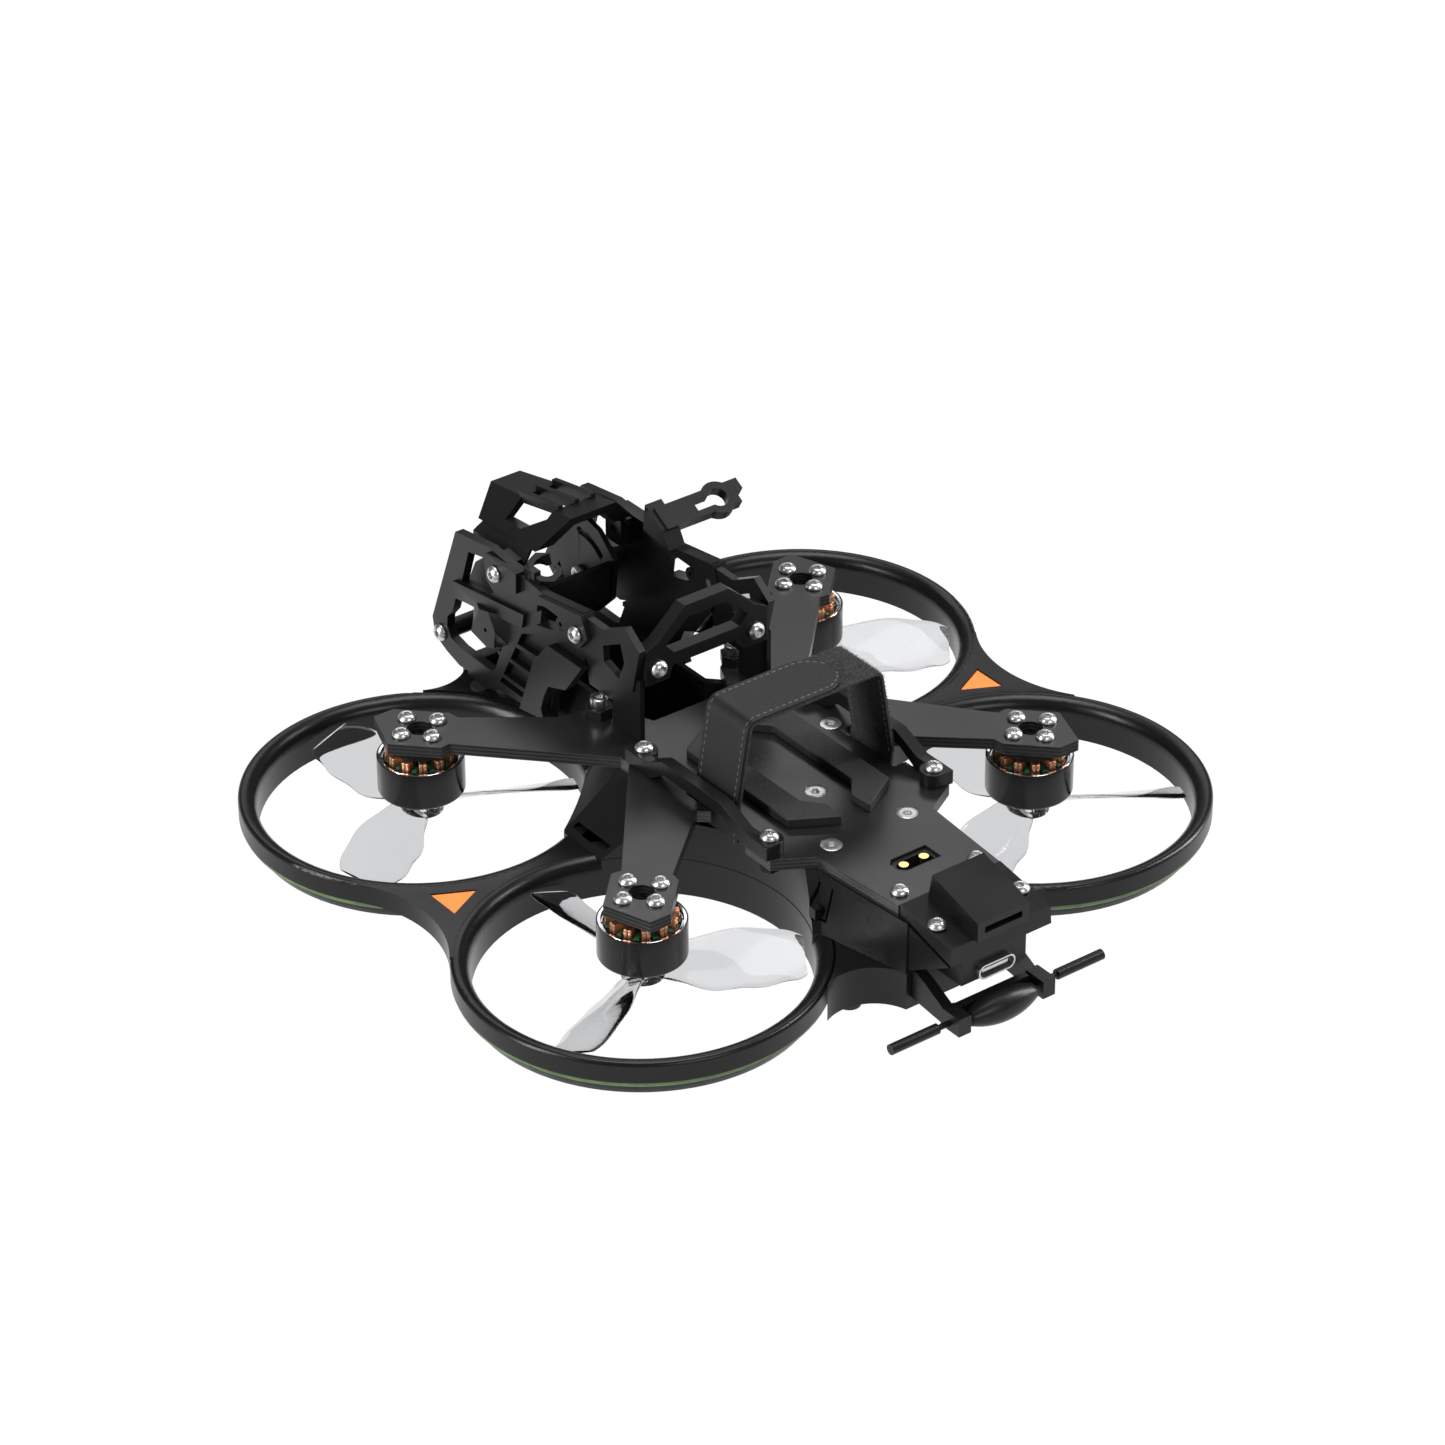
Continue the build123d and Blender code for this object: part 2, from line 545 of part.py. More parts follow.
def cage_side_right():
    outline = [(69.5, 20.0), (FRONT_END_Y, -4.8), (78.4, -9.0), (74.2, -11.0), (69.6, -12.4), (50.6, -11.0),
               (37.2, -10.5), (35.6, -3.0), (33.6, 1.3), (29.5, 3.2), (24.5, 9.8), (22.9, 15.9),
               (24.3, 21.7), (38.6, 19.5), (57.4, 21.8)]
    side = flat_yz(outline, SIDE_INNER_X, CAGE_X)
    windows = [
        [(64.9, 17.3), (67.8, 8.8), (58.2, 10.3), (56.0, 11.6), (58.8, 13.6), (59.4, 18.4)],
        [(70.2, 3.8), (71.4, 0.2), (73.5, -2.2), (73.8, -4.8), (72.4, -7.0), (69.0, -7.8), (58.4, -8.1),
         (56.6, -7.4), (50.8, 6.4)],
    ]
    for window in windows:
        side -= flat_yz(window, SIDE_INNER_X, CAGE_X)
    louvers = [(46.4, 6.4), (54.8, -9.2), (41.4, -9.2), (36.6, 5.8), (34.6, 10.4), (38.4, 10.0)]
    side -= flat_yz(louvers, SIDE_INNER_X + 0.5, CAGE_X)
    for rear_z, front_z in ((3.0, 2.3), (-2.2, -2.2), (-7.3, -7.1)):
        bar = [(39.4, rear_z - 0.5), (39.4, rear_z + 0.5), (55.2, front_z + 0.5), (55.2, front_z - 0.5)]
        side += flat_yz(bar, SIDE_INNER_X, CAGE_X)
    side += flat_yz([(57.2, 20.9), (46.2, 21.0), (46.4, 16.2), (50.7, 14.8), (53.6, 15.0), (57.0, 17.4)],
                    SIDE_INNER_X, PROUD_X)
    side += flat_yz([(69.8, 8.4), (44.3, 12.1), (45.0, 8.7), (69.6, 4.5)], SIDE_INNER_X, PROUD_X - 0.3)
    side += flat_yz([(38.6, 19.4), (23.6, 21.6), (21.6, 17.2), (24.6, 13.6), (28.6, 14.4), (32.4, 12.6),
                     (39.6, 11.2)], SIDE_INNER_X, PROUD_X)
    side -= flat_yz([(38.8, 17.2), (36.3, 18.0), (30.2, 17.8), (29.9, 15.4), (32.8, 13.9), (39.6, 12.2)],
                    SIDE_INNER_X, PROUD_X)
    side += cross_pin(SIDE_INNER_X, PROUD_X - 0.4, 31.4, 16.0, 1.5)
    side -= cross_pin(SIDE_INNER_X, PROUD_X, 31.4, 16.0, 0.5)
    side += hex_boss()
    gusset = [(25.5, 13.5), (24.6, 21.0), (17.5, 20.9), (10.4, 24.7), (5.6, 21.2), (8.1, 10.9), (19.9, 6.2)]
    side += flat_yz(gusset, SIDE_INNER_X + 0.4, CAGE_X)
    side -= flat_yz([(17.9, 17.1), (12.0, 20.3), (10.7, 16.5), (12.6, 11.8), (17.6, 13.5)], 15, CAGE_X)
    foot = [(6.2, 0.0), (6.2, 14.0), (9.0, 14.0), (24.6, 10.0), (23.4, 5.2), (15.6, 5.2), (15.6, 0.0)]
    side += flat_yz(foot, SIDE_INNER_X + 0.4, CAGE_X - 0.5)
    side += flat_yz([(66.8, -13.3), (66.0, -11.0), (54.0, -11.0), (59.5, -13.3)], SIDE_INNER_X, CAGE_X)
    for y, z in (UPPER_BOLT, MIDDLE_BOLT, FRONT_BOLT):
        side -= cross_pin(SIDE_INNER_X - 1, PROUD_X + 1, y, z, SCREW_R + HOLE_GAP)
    return side - cross_pin(SIDE_INNER_X, SIDE_INNER_X + 1.3, *PIVOT, SCREW_R + HOLE_GAP)


def louver_cover_right():
    outline = [(34.3, 10.0), (22.7, 10.1), (28.5, 2.2), (34.6, 0.1), (36.4, -3.5), (37.4, -6.6),
               (36.3, -8.8), (45.2, -10.2), (39.6, 3.9)]
    return flat_yz(outline, CAGE_X + 0.05, CAGE_X + 2.0)


def loft_quads(front, rear):
    """Straight loft between two four-sided sections."""
    faces = [make_face(Polyline(*corners, close=True)) for corners in (front, rear)]
    return loft(faces, ruled=True)


def hood_section(half_top, half_low, top, low, inset=0.0):
    """Trapezium across the hood; top and low are (y, z) of its two edges."""
    return [(-half_low + inset, low[0], low[1] - inset), (-half_top + 0.7 * inset, top[0], top[1] - inset),
            (half_top - 0.7 * inset, top[0], top[1] - inset), (half_low - inset, low[0], low[1] - inset)]


def camera_hood():
    """Solid cap at the nose, three fins behind it, and a thick arch at the rear."""
    shell = loft_quads(hood_section(3.7, 10.5, (75.4, 24.8), (70.5, 20.5)),
                       hood_section(5.7, 12.3, (44.0, 30.6), (47.6, 23.5)))
    front_hollow = loft_quads(hood_section(3.6, 10.6, (77.4, 24.4), (72.5, 20.1), 1.3),
                              hood_section(5.8, 12.4, (42.0, 31.0), (45.6, 23.9), 1.3))
    shell -= front_hollow & block(-20, 20, 50.8, 90, 0, 40)
    shell -= loft_quads(hood_section(3.6, 10.6, (77.4, 24.4), (72.5, 20.1), 2.4),
                        hood_section(5.8, 12.4, (42.0, 31.0), (45.6, 23.9), 2.4))
    shell -= flat_yz([(62.8, 23.0), (56.5, 24.0), (50.8, 27.8), (50.8, 34.0), (62.8, 34.0)], -14, 14)
    for side_x in (-1, 1):
        front = [(side_x * x, 69.0, z) for x, z in ((9.9, 20.9), (12.9, 19.2), (12.9, 17.8), (9.9, 19.6))]
        rear = [(side_x * x, 50.0, z) for x, z in ((11.3, 23.8), (13.4, 20.2), (13.4, 18.8), (11.3, 22.4))]
        lug_x = sorted((side_x * 11.8, side_x * (SIDE_INNER_X - 0.05)))
        shell += loft_quads(front, rear) + block(*lug_x, 51.0, 56.4, 14.6, 20.6)
    for x in (-4.1, 0, 4.1):
        shell += flat_yz([(63.6, 25.5), (63.6, 28.0), (49.8, 30.6), (49.8, 28.4)], x - 0.6, x + 0.6)
    return shell - cross_pin(-16, 16, *UPPER_BOLT, SCREW_R + HOLE_GAP)


def roll_bar():
    """Arch plate across the cage's rear end, bolted at both feet."""
    outer = [(15.3, 12.5), (15.3, 20.5), (12.3, 22.0), (5.5, 28.0), (-5.5, 28.0), (-12.3, 22.0),
             (-15.3, 20.5), (-15.3, 12.5), (-9.5, 12.5), (-8.5, 15.4), (8.5, 15.4), (9.5, 12.5)]
    window = [(8.2, 18.2), (10.2, 20.4), (4.6, 25.2), (-4.6, 25.2), (-10.2, 20.4), (-8.2, 18.2)]
    bar = flat_xz(outer, *ROLL_BAR_Y) - flat_xz(window, *ROLL_BAR_Y)
    for side_x in (-1, 1):
        place = Pos(side_x * ROLL_BOLT[0], 0, ROLL_BOLT[1]) * Rot(90, 0, 0)
        bar -= place * Cylinder(SCREW_R + HOLE_GAP, 30)
    return bar


def antenna_clip():
    """Keyhole clip on the right rail and an open ring on the left rail."""
    tilt = Plane(origin=(14.4, 41.0, 24.2), x_dir=(1, 0, 0), z_dir=(0, -0.5, 0.87))
    keyhole = Pos(9.6, 0) * Rectangle(19.2, 5.6) + Pos(CLIP_SEAT, 0) * Circle(3.9)
    keyhole += Pos(11.0, 1.4) * Rectangle(20.2, 2.8)
    keyhole -= Pos(CLIP_SEAT, 0) * Circle(2.2)
    keyhole -= Pos(CLIP_SEAT - 3.0, 0) * Rectangle(6.0, 2.6)
    clip = tilt * extrude(keyhole, 1.25, both=True)
    clip += flat_yz([(36.4, 19.7), (45.4, 20.8), (44.6, 27.0), (38.6, 23.6)], 13.4, 17.6)
    ring = Pos(-13.0, 43.8, 21.2) * Rot(30, 0, 0) * (extrude(RegularPolygon(3.8, 8), 1.2, both=True)
                                                     - Cylinder(2.3, 2.4))
    ring += block(-16.6, -14.9, 42.0, 45.6, 20.9, 22.6)
    return clip, ring - Pos(-11.0, 44.2, 21.2) * Box(3.4, 2.4, 5)


CRADLE_X = (9.4, 10.6)
CAMERA_SCREW = (69.2, 0.6)
CAMERA_SCREW_R = 1.05


def cradle_cheek():
    outline = [(65.5, 14.6), (60.1, 18.2), (55.8, 17.2), (53.4, 15.2), (50.2, 12.4), (51.4, 2.6), (57.0, -3.0),
               (70.0, -3.0), (75.6, 2.0), (72.0, 9.4)]
    cheek = flat_yz(outline, *CRADLE_X)
    slot = Plane.YZ.offset(CRADLE_X[0]) * SlotArc(CenterArc(PIVOT, 10.1, 88, 45), 1.7)
    cheek -= extrude(slot, CRADLE_X[1] - CRADLE_X[0], dir=(1, 0, 0))
    cheek -= cross_pin(*CRADLE_X, *CAMERA_SCREW, CAMERA_SCREW_R)
    return cheek - cross_pin(*CRADLE_X, *PIVOT, SCREW_R + HOLE_GAP)


def camera_cradle():
    cheek = cradle_cheek()
    tray = block(-CRADLE_X[0], CRADLE_X[0], 57.5, 69.5, -3.0, -1.8)
    back = block(-CRADLE_X[0], CRADLE_X[0], 51.6, 52.8, 2.6, 11.2)
    return cheek + mirror_x(cheek) + tray + back


def pivot_sleeve():
    return cross_pin(*PIVOT_SLEEVE_X, *PIVOT, 2.0) - cross_pin(*PIVOT_SLEEVE_X, *PIVOT, SCREW_R + HOLE_GAP)


def cage_screw(y, z, length, seat_x=PROUD_X):
    """Side screw of the right side plate, head outside."""
    return Pos(seat_x, y, z) * Rot(0, 90, 0) * button_screw(length)


def roll_bar_screw(side_x):
    """Short screw into the roll bar's foot, head facing the tail."""
    return Pos(side_x * ROLL_BOLT[0], ROLL_BAR_Y[0], ROLL_BOLT[1]) * Rot(90, 0, 0) * button_screw(2.6)


def pivot_screw():
    """Pivot of the cradle, head on the inside of the cheek."""
    return Pos(CRADLE_X[0] - 0.3, *PIVOT) * Rot(0, -90, 0) * button_screw(7.0)


# ---------------------------------------------------------------- motors, hanging below the arms
BASE_Z = -4.0
TUBE_R = 3.0
BEARING_R = 2.0
SHAFT_R = 0.74
STATOR_Z = (-10.5, -6.5)
STATOR_R = 7.4
TEETH = 12
BELL_Z = (-14.2, -6.0)
HUB_Z = (-19.0, -14.2)
HUB_R = 4.3
PROP_SCREW_X = 2.5
BLADE_Z = -17.0


def motor_base():
    base = post(0, 0, BASE_Z, PLATE_BOTTOM_Z, 6.4) + post(0, 0, -12.5, BASE_Z, TUBE_R)
    base -= post(0, 0, -12.5, PLATE_BOTTOM_Z, BEARING_R)
    half = MOTOR_PCD / 2
    for x, y in ((half, 0), (-half, 0), (0, half), (0, -half)):
        base -= screw_hole(x, y, BASE_Z, PLATE_BOTTOM_Z)
    return base


def bearing(z_low):
    return post(0, 0, z_low, z_low + 1.2, BEARING_R) - post(0, 0, z_low, z_low + 1.2, SHAFT_R + 0.03)


def stator_core():
    core = post(0, 0, *STATOR_Z, 4.2)
    shoes = post(0, 0, *STATOR_Z, STATOR_R) - post(0, 0, *STATOR_Z, 6.85)
    for step in range(TEETH):
        turn = Rot(0, 0, step * 360 / TEETH)
        core += turn * block(4.0, 7.0, -0.55, 0.55, *STATOR_Z)
        shoes -= turn * Rot(0, 0, 180 / TEETH) * block(6.0, 8.0, -0.4, 0.4, *STATOR_Z)
    return core + shoes - post(0, 0, *STATOR_Z, TUBE_R + 0.05)


def windings():
    """Twelve copper coils, one round each stator tooth."""
    coil = block(4.45, 6.75, -1.05, 1.05, -11.6, -4.7) - block(4.45, 6.75, -0.6, 0.6, -10.55, -6.45)
    coil = fillet(coil.edges().filter_by(Axis.X).group_by(SortBy.DISTANCE)[-1], 0.3)
    return [Rot(0, 0, step * 360 / TEETH) * coil for step in range(TEETH)]


def motor_bell():
    bell = post(0, 0, *BELL_Z, BELL_R)
    bell = fillet(bell.edges().group_by(Axis.Z)[0], 0.8)
    bell -= post(0, 0, BELL_Z[0] + 1.6, BELL_Z[1], 8.1)
    opening = post(0, 0, BELL_Z[0], BELL_Z[0] + 1.6, 7.3) - post(0, 0, BELL_Z[0], BELL_Z[0] + 1.6, 5.0)
    for step in range(6):
        opening -= Rot(0, 0, 60 * step) * block(4.0, 8.0, -0.9, 0.9, BELL_Z[0], BELL_Z[0] + 1.6)
    bell -= opening
    for side in (-1, 1):
        bell -= screw_hole(side * PROP_SCREW_X, 0, BELL_Z[0], BELL_Z[0] + 1.2)
    return bell - post(0, 0, BELL_Z[0], BELL_Z[0] + 1.6, SHAFT_R)


def magnets():
    section = make_face(Plane.XZ * Polyline((7.7, -11.6), (8.1, -11.6), (8.1, -6.6), (7.7, -6.6), close=True))
    magnet = revolve(section, Axis.Z, 26)
    return [Rot(0, 0, step * 30) * magnet for step in range(12)]


def rotor_shaft():
    """Shaft with its retaining ring, and the two propeller screws."""
    shaft = post(0, 0, -18.2, -3.0, SHAFT_R) + post(0, 0, -4.2, -3.6, 1.4)
    screws = [Pos(side * PROP_SCREW_X, 0, HUB_Z[0]) * Rot(180, 0, 0) * button_screw(5.6, 1.7, 1.1)
              for side in (-1, 1)]
    return [shaft] + screws


def propeller():
    """Three thin twisted blades on a hub, turning clockwise as seen from above."""
    stations = [(3.4, 6.0, 36, 1.5), (9.0, 9.6, 34, 1.2), (16.0, 12.8, 31, 0.95), (24.0, 13.0, 26, 0.8),
                (29.5, 11.6, 21, 0.7), (PROP_R, 9.4, 19, 0.55)]
    sections = []
    for radius, chord, pitch, thickness in stations:
        slope = (0, cos(radians(pitch)), -sin(radians(pitch)))
        place = Plane(origin=(radius, 0, BLADE_Z), x_dir=slope, z_dir=(1, 0, 0))
        sections.append(place * Ellipse(chord / 2, thickness / 2))
    blade = loft(sections)
    prop = post(0, 0, *HUB_Z, HUB_R)
    for step in range(3):
        prop += Rot(0, 0, 120 * step) * blade
    prop -= post(0, 0, *HUB_Z, SHAFT_R)
    for side in (-1, 1):
        prop -= screw_hole(side * PROP_SCREW_X, 0, *HUB_Z)
    return prop


# ---------------------------------------------------------------- gathering the nodes
def front_standoff(x, y):
    """Hexagonal spacer under each front cap screw."""
    spacer = Pos(x, y) * extrude(RegularPolygon(2.9, 6), STANDOFF_TOP_Z)
    return spacer - screw_hole(x, y, 0, STANDOFF_TOP_Z)


def at_motors(shapes):
    return Compound(children=[Pos(x, y) * copy_of for _, x, y in motor_places() for copy_of in shapes])


def group(shapes):
    return Compound(children=list(shapes))


guard_left = duct_guard_left()
bar_right = strap_bar_right()
side_right = cage_side_right()
cover_right = louver_cover_right()

nodes = {
    "duct_guard_left": guard_left,
    "duct_guard_right": mirror_x(guard_left),
    "led_strips": group(led_strip(sx, sy) for sx, sy, _, _ in ROTORS.values()),
    "web_inserts": group(both_sides(web_insert_left())),
    "body_tub": body_tub(),
    "main_plate": main_plate(),
    "battery_rails": group(both_sides(battery_rail())),
    "strap_bar_left": mirror_x(bar_right),
    "strap_bar_right": bar_right,
    "battery_strap": battery_strap(),
    "battery_connector": battery_connector(),
    "connector_pins": group(post(x, CONNECTOR_Y, -11.0, -0.3, PIN_R) for x in (-PIN_X, PIN_X)),
    "rear_cover": rear_cover(),
    "rear_board_case": rear_board_case(),
    "usb_port": usb_port(),
    "antenna_mount": antenna_mount(),
    "tee_antenna": tee_antenna(),
    "rubber_feet": group(post(x, y, FOOT_BOTTOM_Z, DUCT_SKIRT_Z, FOOT_R) for x, y in FEET),
    "motor_screws": group(Pos(x, y) * button_screw(3.9) for x, y in motor_screw_places()),
    "deck_screws": group(Pos(x, y) * flush_screw(7.5) for x, y in FLUSH_SCREWS),
    "rear_cover_screws": group([Pos(x, y) * button_screw(7.5) for x, y in REAR_SCREWS_FRONT]
                               + [Pos(x, y, -0.9) * button_screw(6.8) for x, y in REAR_SCREWS_BACK]),
    "strap_bar_screws": group([Pos(x, y, PAD_TOP_Z) * button_screw(10.0) for x, y in BAR_SCREWS_FRONT]
                              + [Pos(x, y, PAD_TOP_Z) * bar_screw_rear() for x, y in BAR_SCREWS_REAR]),
    "front_standoffs": group(front_standoff(x, y) for x, y in STANDOFFS),
    "cage_screws": group(both_sides(cage_screw(*UPPER_BOLT, 5.0)) + both_sides(cage_screw(*MIDDLE_BOLT, 3.0))
                         + both_sides(cage_screw(*FRONT_BOLT, 5.0, CAGE_X))
                         + [roll_bar_screw(side_x) for side_x in (-1, 1)]
                         + [Pos(x, y, STANDOFF_TOP_Z) * button_screw(6.0, 1.9, 2.2) for x, y in STANDOFFS]),
    "flight_controller": flight_controller(),
    "soft_mount_grommets": group(grommet(x, y) for x, y in stack_places()),
    "power_capacitor": power_capacitor(),
    "radio_receiver": radio_receiver(),
    "battery_leads": group(battery_lead(side_x) for side_x in (-1, 1)),
    "cage_side_left": mirror_x(side_right),
    "cage_side_right": side_right,
    "louver_cover_left": mirror_x(cover_right),
    "louver_cover_right": cover_right,
    "camera_hood": camera_hood(),
    "roll_bar": roll_bar(),
    "antenna_clip": group(piece - side_right - mirror_x(side_right) for piece in antenna_clip()),
    "camera_cradle": camera_cradle(),
    "cradle_screws": group(both_sides(pivot_screw())),
    "cage_tubes": group(both_sides(pivot_sleeve())
                        + [cross_pin(-14.95, 14.95, *FRONT_BOLT, 2.0)
                           - cross_pin(-14.95, 14.95, *FRONT_BOLT, SCREW_R + HOLE_GAP)]),
    "cage_dampers": group(post(x, y, DUCT_TOP_Z, -13.4, 2.2) for x, y in FEET if y > 0),
    "stator_cores": at_motors([stator_core()]),
    "motor_windings": at_motors(windings()),
    "motor_bearings": at_motors([bearing(-5.7), bearing(-12.2)]),
    "motor_bases": at_motors([motor_base()]),
}

bell = motor_bell()
magnet_ring = magnets()
shaft_set = rotor_shaft()
clockwise_prop = propeller()
props = {-1: clockwise_prop, 1: mirror(clockwise_prop, about=Plane.XZ)}
for name, (side_x, side_y, sense, rest_angle) in ROTORS.items():
    place = Pos(side_x * MOTOR_X, side_y * MOTOR_Y) * Rot(0, 0, rest_angle)
    nodes["motor_bell_" + name] = place * bell
    nodes["motor_magnets_" + name] = group(place * magnet for magnet in magnet_ring)
    nodes["rotor_shaft_" + name] = group(place * piece for piece in shaft_set)
    nodes["propeller_" + name] = place * props[sense]

row_frame = Pos(0, -MIDDLE_Y, -FOOT_BOTTOM_Z)
for node_name, shape in nodes.items():
    export_step(row_frame * shape, f"parts/{node_name}.step")
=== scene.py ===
"""Looks of the ducted racing drone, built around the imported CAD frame."""
import json
import math
import random

import bpy
from mathutils import Matrix, Vector


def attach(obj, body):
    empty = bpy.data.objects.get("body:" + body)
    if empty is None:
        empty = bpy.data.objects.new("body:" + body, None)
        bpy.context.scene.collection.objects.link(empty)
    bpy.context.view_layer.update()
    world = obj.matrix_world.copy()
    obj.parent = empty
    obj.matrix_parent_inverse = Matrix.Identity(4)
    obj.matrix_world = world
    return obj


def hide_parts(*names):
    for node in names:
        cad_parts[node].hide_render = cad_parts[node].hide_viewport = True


MM = 0.001
AIRFRAME_SHIFT = Vector((0.0, 5.9, 26.0))

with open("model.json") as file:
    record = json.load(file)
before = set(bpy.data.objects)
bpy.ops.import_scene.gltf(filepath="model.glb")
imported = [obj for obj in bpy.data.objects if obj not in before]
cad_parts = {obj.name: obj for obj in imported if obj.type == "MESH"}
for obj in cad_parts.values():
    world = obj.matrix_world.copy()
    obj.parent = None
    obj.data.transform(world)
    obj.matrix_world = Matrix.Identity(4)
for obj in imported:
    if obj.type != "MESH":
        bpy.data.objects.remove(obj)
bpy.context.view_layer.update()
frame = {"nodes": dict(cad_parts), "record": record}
nodes = frame["nodes"]
random.seed(7)


def place(x, y, z):
    """Airframe millimetres to row-frame metres."""
    return (Vector((x, y, z)) + AIRFRAME_SHIFT) * MM


# ------------------------------------------------------------------ material helpers
def new_material(name, color, roughness, metallic=0.0, **inputs):
    """Principled material with its uniform values set on the shader's own sockets."""
    material = bpy.data.materials.new(name)
    material.use_nodes = True
    shader = material.node_tree.nodes["Principled BSDF"]
    shader.inputs["Base Color"].default_value = (*color, 1.0)
    shader.inputs["Roughness"].default_value = roughness
    shader.inputs["Metallic"].default_value = metallic
    for key, value in inputs.items():
        shader.inputs[key.replace("_", " ")].default_value = value
    return material, material.node_tree, shader


def noise(tree, scale, detail=4.0, roughness=0.6, stretch=(1, 1, 1)):
    """Noise on object coordinates, in metres."""
    coords = tree.nodes.new("ShaderNodeTexCoord")
    mapping = tree.nodes.new("ShaderNodeMapping")
    mapping.inputs["Scale"].default_value = stretch
    texture = tree.nodes.new("ShaderNodeTexNoise")
    texture.inputs["Scale"].default_value = scale
    texture.inputs["Detail"].default_value = detail
    texture.inputs["Roughness"].default_value = roughness
    tree.links.new(coords.outputs["Object"], mapping.inputs["Vector"])
    tree.links.new(mapping.outputs["Vector"], texture.inputs["Vector"])
    return texture


def spread(tree, source, low, high, from_low=0.3, from_high=0.7):
    """Maps a texture's output onto a value range."""
    node = tree.nodes.new("ShaderNodeMapRange")
    node.inputs["From Min"].default_value = from_low
    node.inputs["From Max"].default_value = from_high
    node.inputs["To Min"].default_value = low
    node.inputs["To Max"].default_value = high
    tree.links.new(source, node.inputs["Value"])
    return node.outputs["Result"]


def add_bump(tree, shader, source, strength, distance):
    """Bumps the shader's normal by a texture; the distance is in metres."""
    bump = tree.nodes.new("ShaderNodeBump")
    bump.inputs["Strength"].default_value = strength
    bump.inputs["Distance"].default_value = distance
    tree.links.new(source, bump.inputs["Height"])
    tree.links.new(bump.outputs["Normal"], shader.inputs["Normal"])


def color_ramp(tree, source, stops):
    """Maps a texture's output onto (position, colour) stops."""
    ramp = tree.nodes.new("ShaderNodeValToRGB")
    while len(ramp.color_ramp.elements) < len(stops):
        ramp.color_ramp.elements.new(0.5)
    for element, (position, color) in zip(ramp.color_ramp.elements, stops):
        element.position = position
        element.color = (*color, 1.0)
    tree.links.new(source, ramp.inputs["Fac"])
    return ramp.outputs["Color"]


def moulded_plastic(name, color, rough_low, rough_high, grain, bump, **inputs):
    """Moulded plastic: fine spark-erosion grain and slight gloss variation."""
    material, tree, shader = new_material(name, color, rough_low, **inputs)
    cloudy = noise(tree, 60.0)
    tree.links.new(spread(tree, cloudy.outputs["Fac"], rough_low, rough_high), shader.inputs["Roughness"])
    fine = noise(tree, grain, 2.0)
    add_bump(tree, shader, fine.outputs["Fac"], bump, 0.00005)
    return material


def carbon_sheet():
    """Satin carbon sheet with pressed layers showing on its edges."""
    material, tree, shader = new_material("carbon_sheet", (0.009, 0.009, 0.0095), 0.3)
    coords = tree.nodes.new("ShaderNodeTexCoord")
    layers = tree.nodes.new("ShaderNodeTexWave")
    layers.bands_direction = "Z"
    layers.inputs["Scale"].default_value = 380.0
    layers.inputs["Distortion"].default_value = 0.8
    tree.links.new(coords.outputs["Object"], layers.inputs["Vector"])
    geometry = tree.nodes.new("ShaderNodeNewGeometry")
    split = tree.nodes.new("ShaderNodeSeparateXYZ")
    tree.links.new(geometry.outputs["Normal"], split.inputs["Vector"])
    upright = tree.nodes.new("ShaderNodeMath")
    upright.operation = "ABSOLUTE"
    tree.links.new(split.outputs["Z"], upright.inputs[0])
    mix = tree.nodes.new("ShaderNodeMix")
    mix.data_type = "RGBA"
    tree.links.new(upright.outputs["Value"], mix.inputs["Factor"])
    edge = color_ramp(tree, layers.outputs["Fac"], [(0.2, (0.005, 0.005, 0.005)),
                                                    (0.8, (0.032, 0.032, 0.033))])
    cloudy = noise(tree, 45.0)
    face = color_ramp(tree, cloudy.outputs["Fac"], [(0.3, (0.008, 0.008, 0.0085)),
                                                    (0.7, (0.011, 0.011, 0.0115))])
    tree.links.new(edge, mix.inputs["A"])
    tree.links.new(face, mix.inputs["B"])
    tree.links.new(mix.outputs["Result"], shader.inputs["Base Color"])
    tree.links.new(spread(tree, cloudy.outputs["Fac"], 0.26, 0.34), shader.inputs["Roughness"])
    fine = noise(tree, 1500.0, 2.0)
    add_bump(tree, shader, fine.outputs["Fac"], 0.06, 0.00003)
    return material


def metal(name, color, rough_low, rough_high, stretch=(1, 1, 1), bump=0.05):
    """Bare or plated metal with a fine grain in its gloss."""
    material, tree, shader = new_material(name, color, rough_low, 1.0)
    grain = noise(tree, 900.0, 3.0, 0.6, stretch)
    tree.links.new(spread(tree, grain.outputs["Fac"], rough_low, rough_high), shader.inputs["Roughness"])
    add_bump(tree, shader, grain.outputs["Fac"], bump, 0.00003)
    return material


def clear_blade():
    """Clear grey polycarbonate with slight flow marks."""
    material, tree, shader = new_material("clear_blade", (0.67, 0.675, 0.69), 0.03, Transmission_Weight=1.0,
                                          IOR=1.3)
    flow = noise(tree, 90.0)
    tree.links.new(spread(tree, flow.outputs["Fac"], 0.02, 0.08), shader.inputs["Roughness"])
    return material


def leather():
    """Black strap leather with a fine cell grain."""
    material, tree, shader = new_material("strap_leather", (0.009, 0.009, 0.0095), 0.42,
                                          Specular_IOR_Level=0.32)
    grain = tree.nodes.new("ShaderNodeTexVoronoi")
    grain.inputs["Scale"].default_value = 1800.0
    coords = tree.nodes.new("ShaderNodeTexCoord")
    tree.links.new(coords.outputs["Object"], grain.inputs["Vector"])
    tree.links.new(spread(tree, grain.outputs["Distance"], 0.36, 0.5, 0, 1), shader.inputs["Roughness"])
    add_bump(tree, shader, grain.outputs["Distance"], 0.2, 0.00005)
    return material


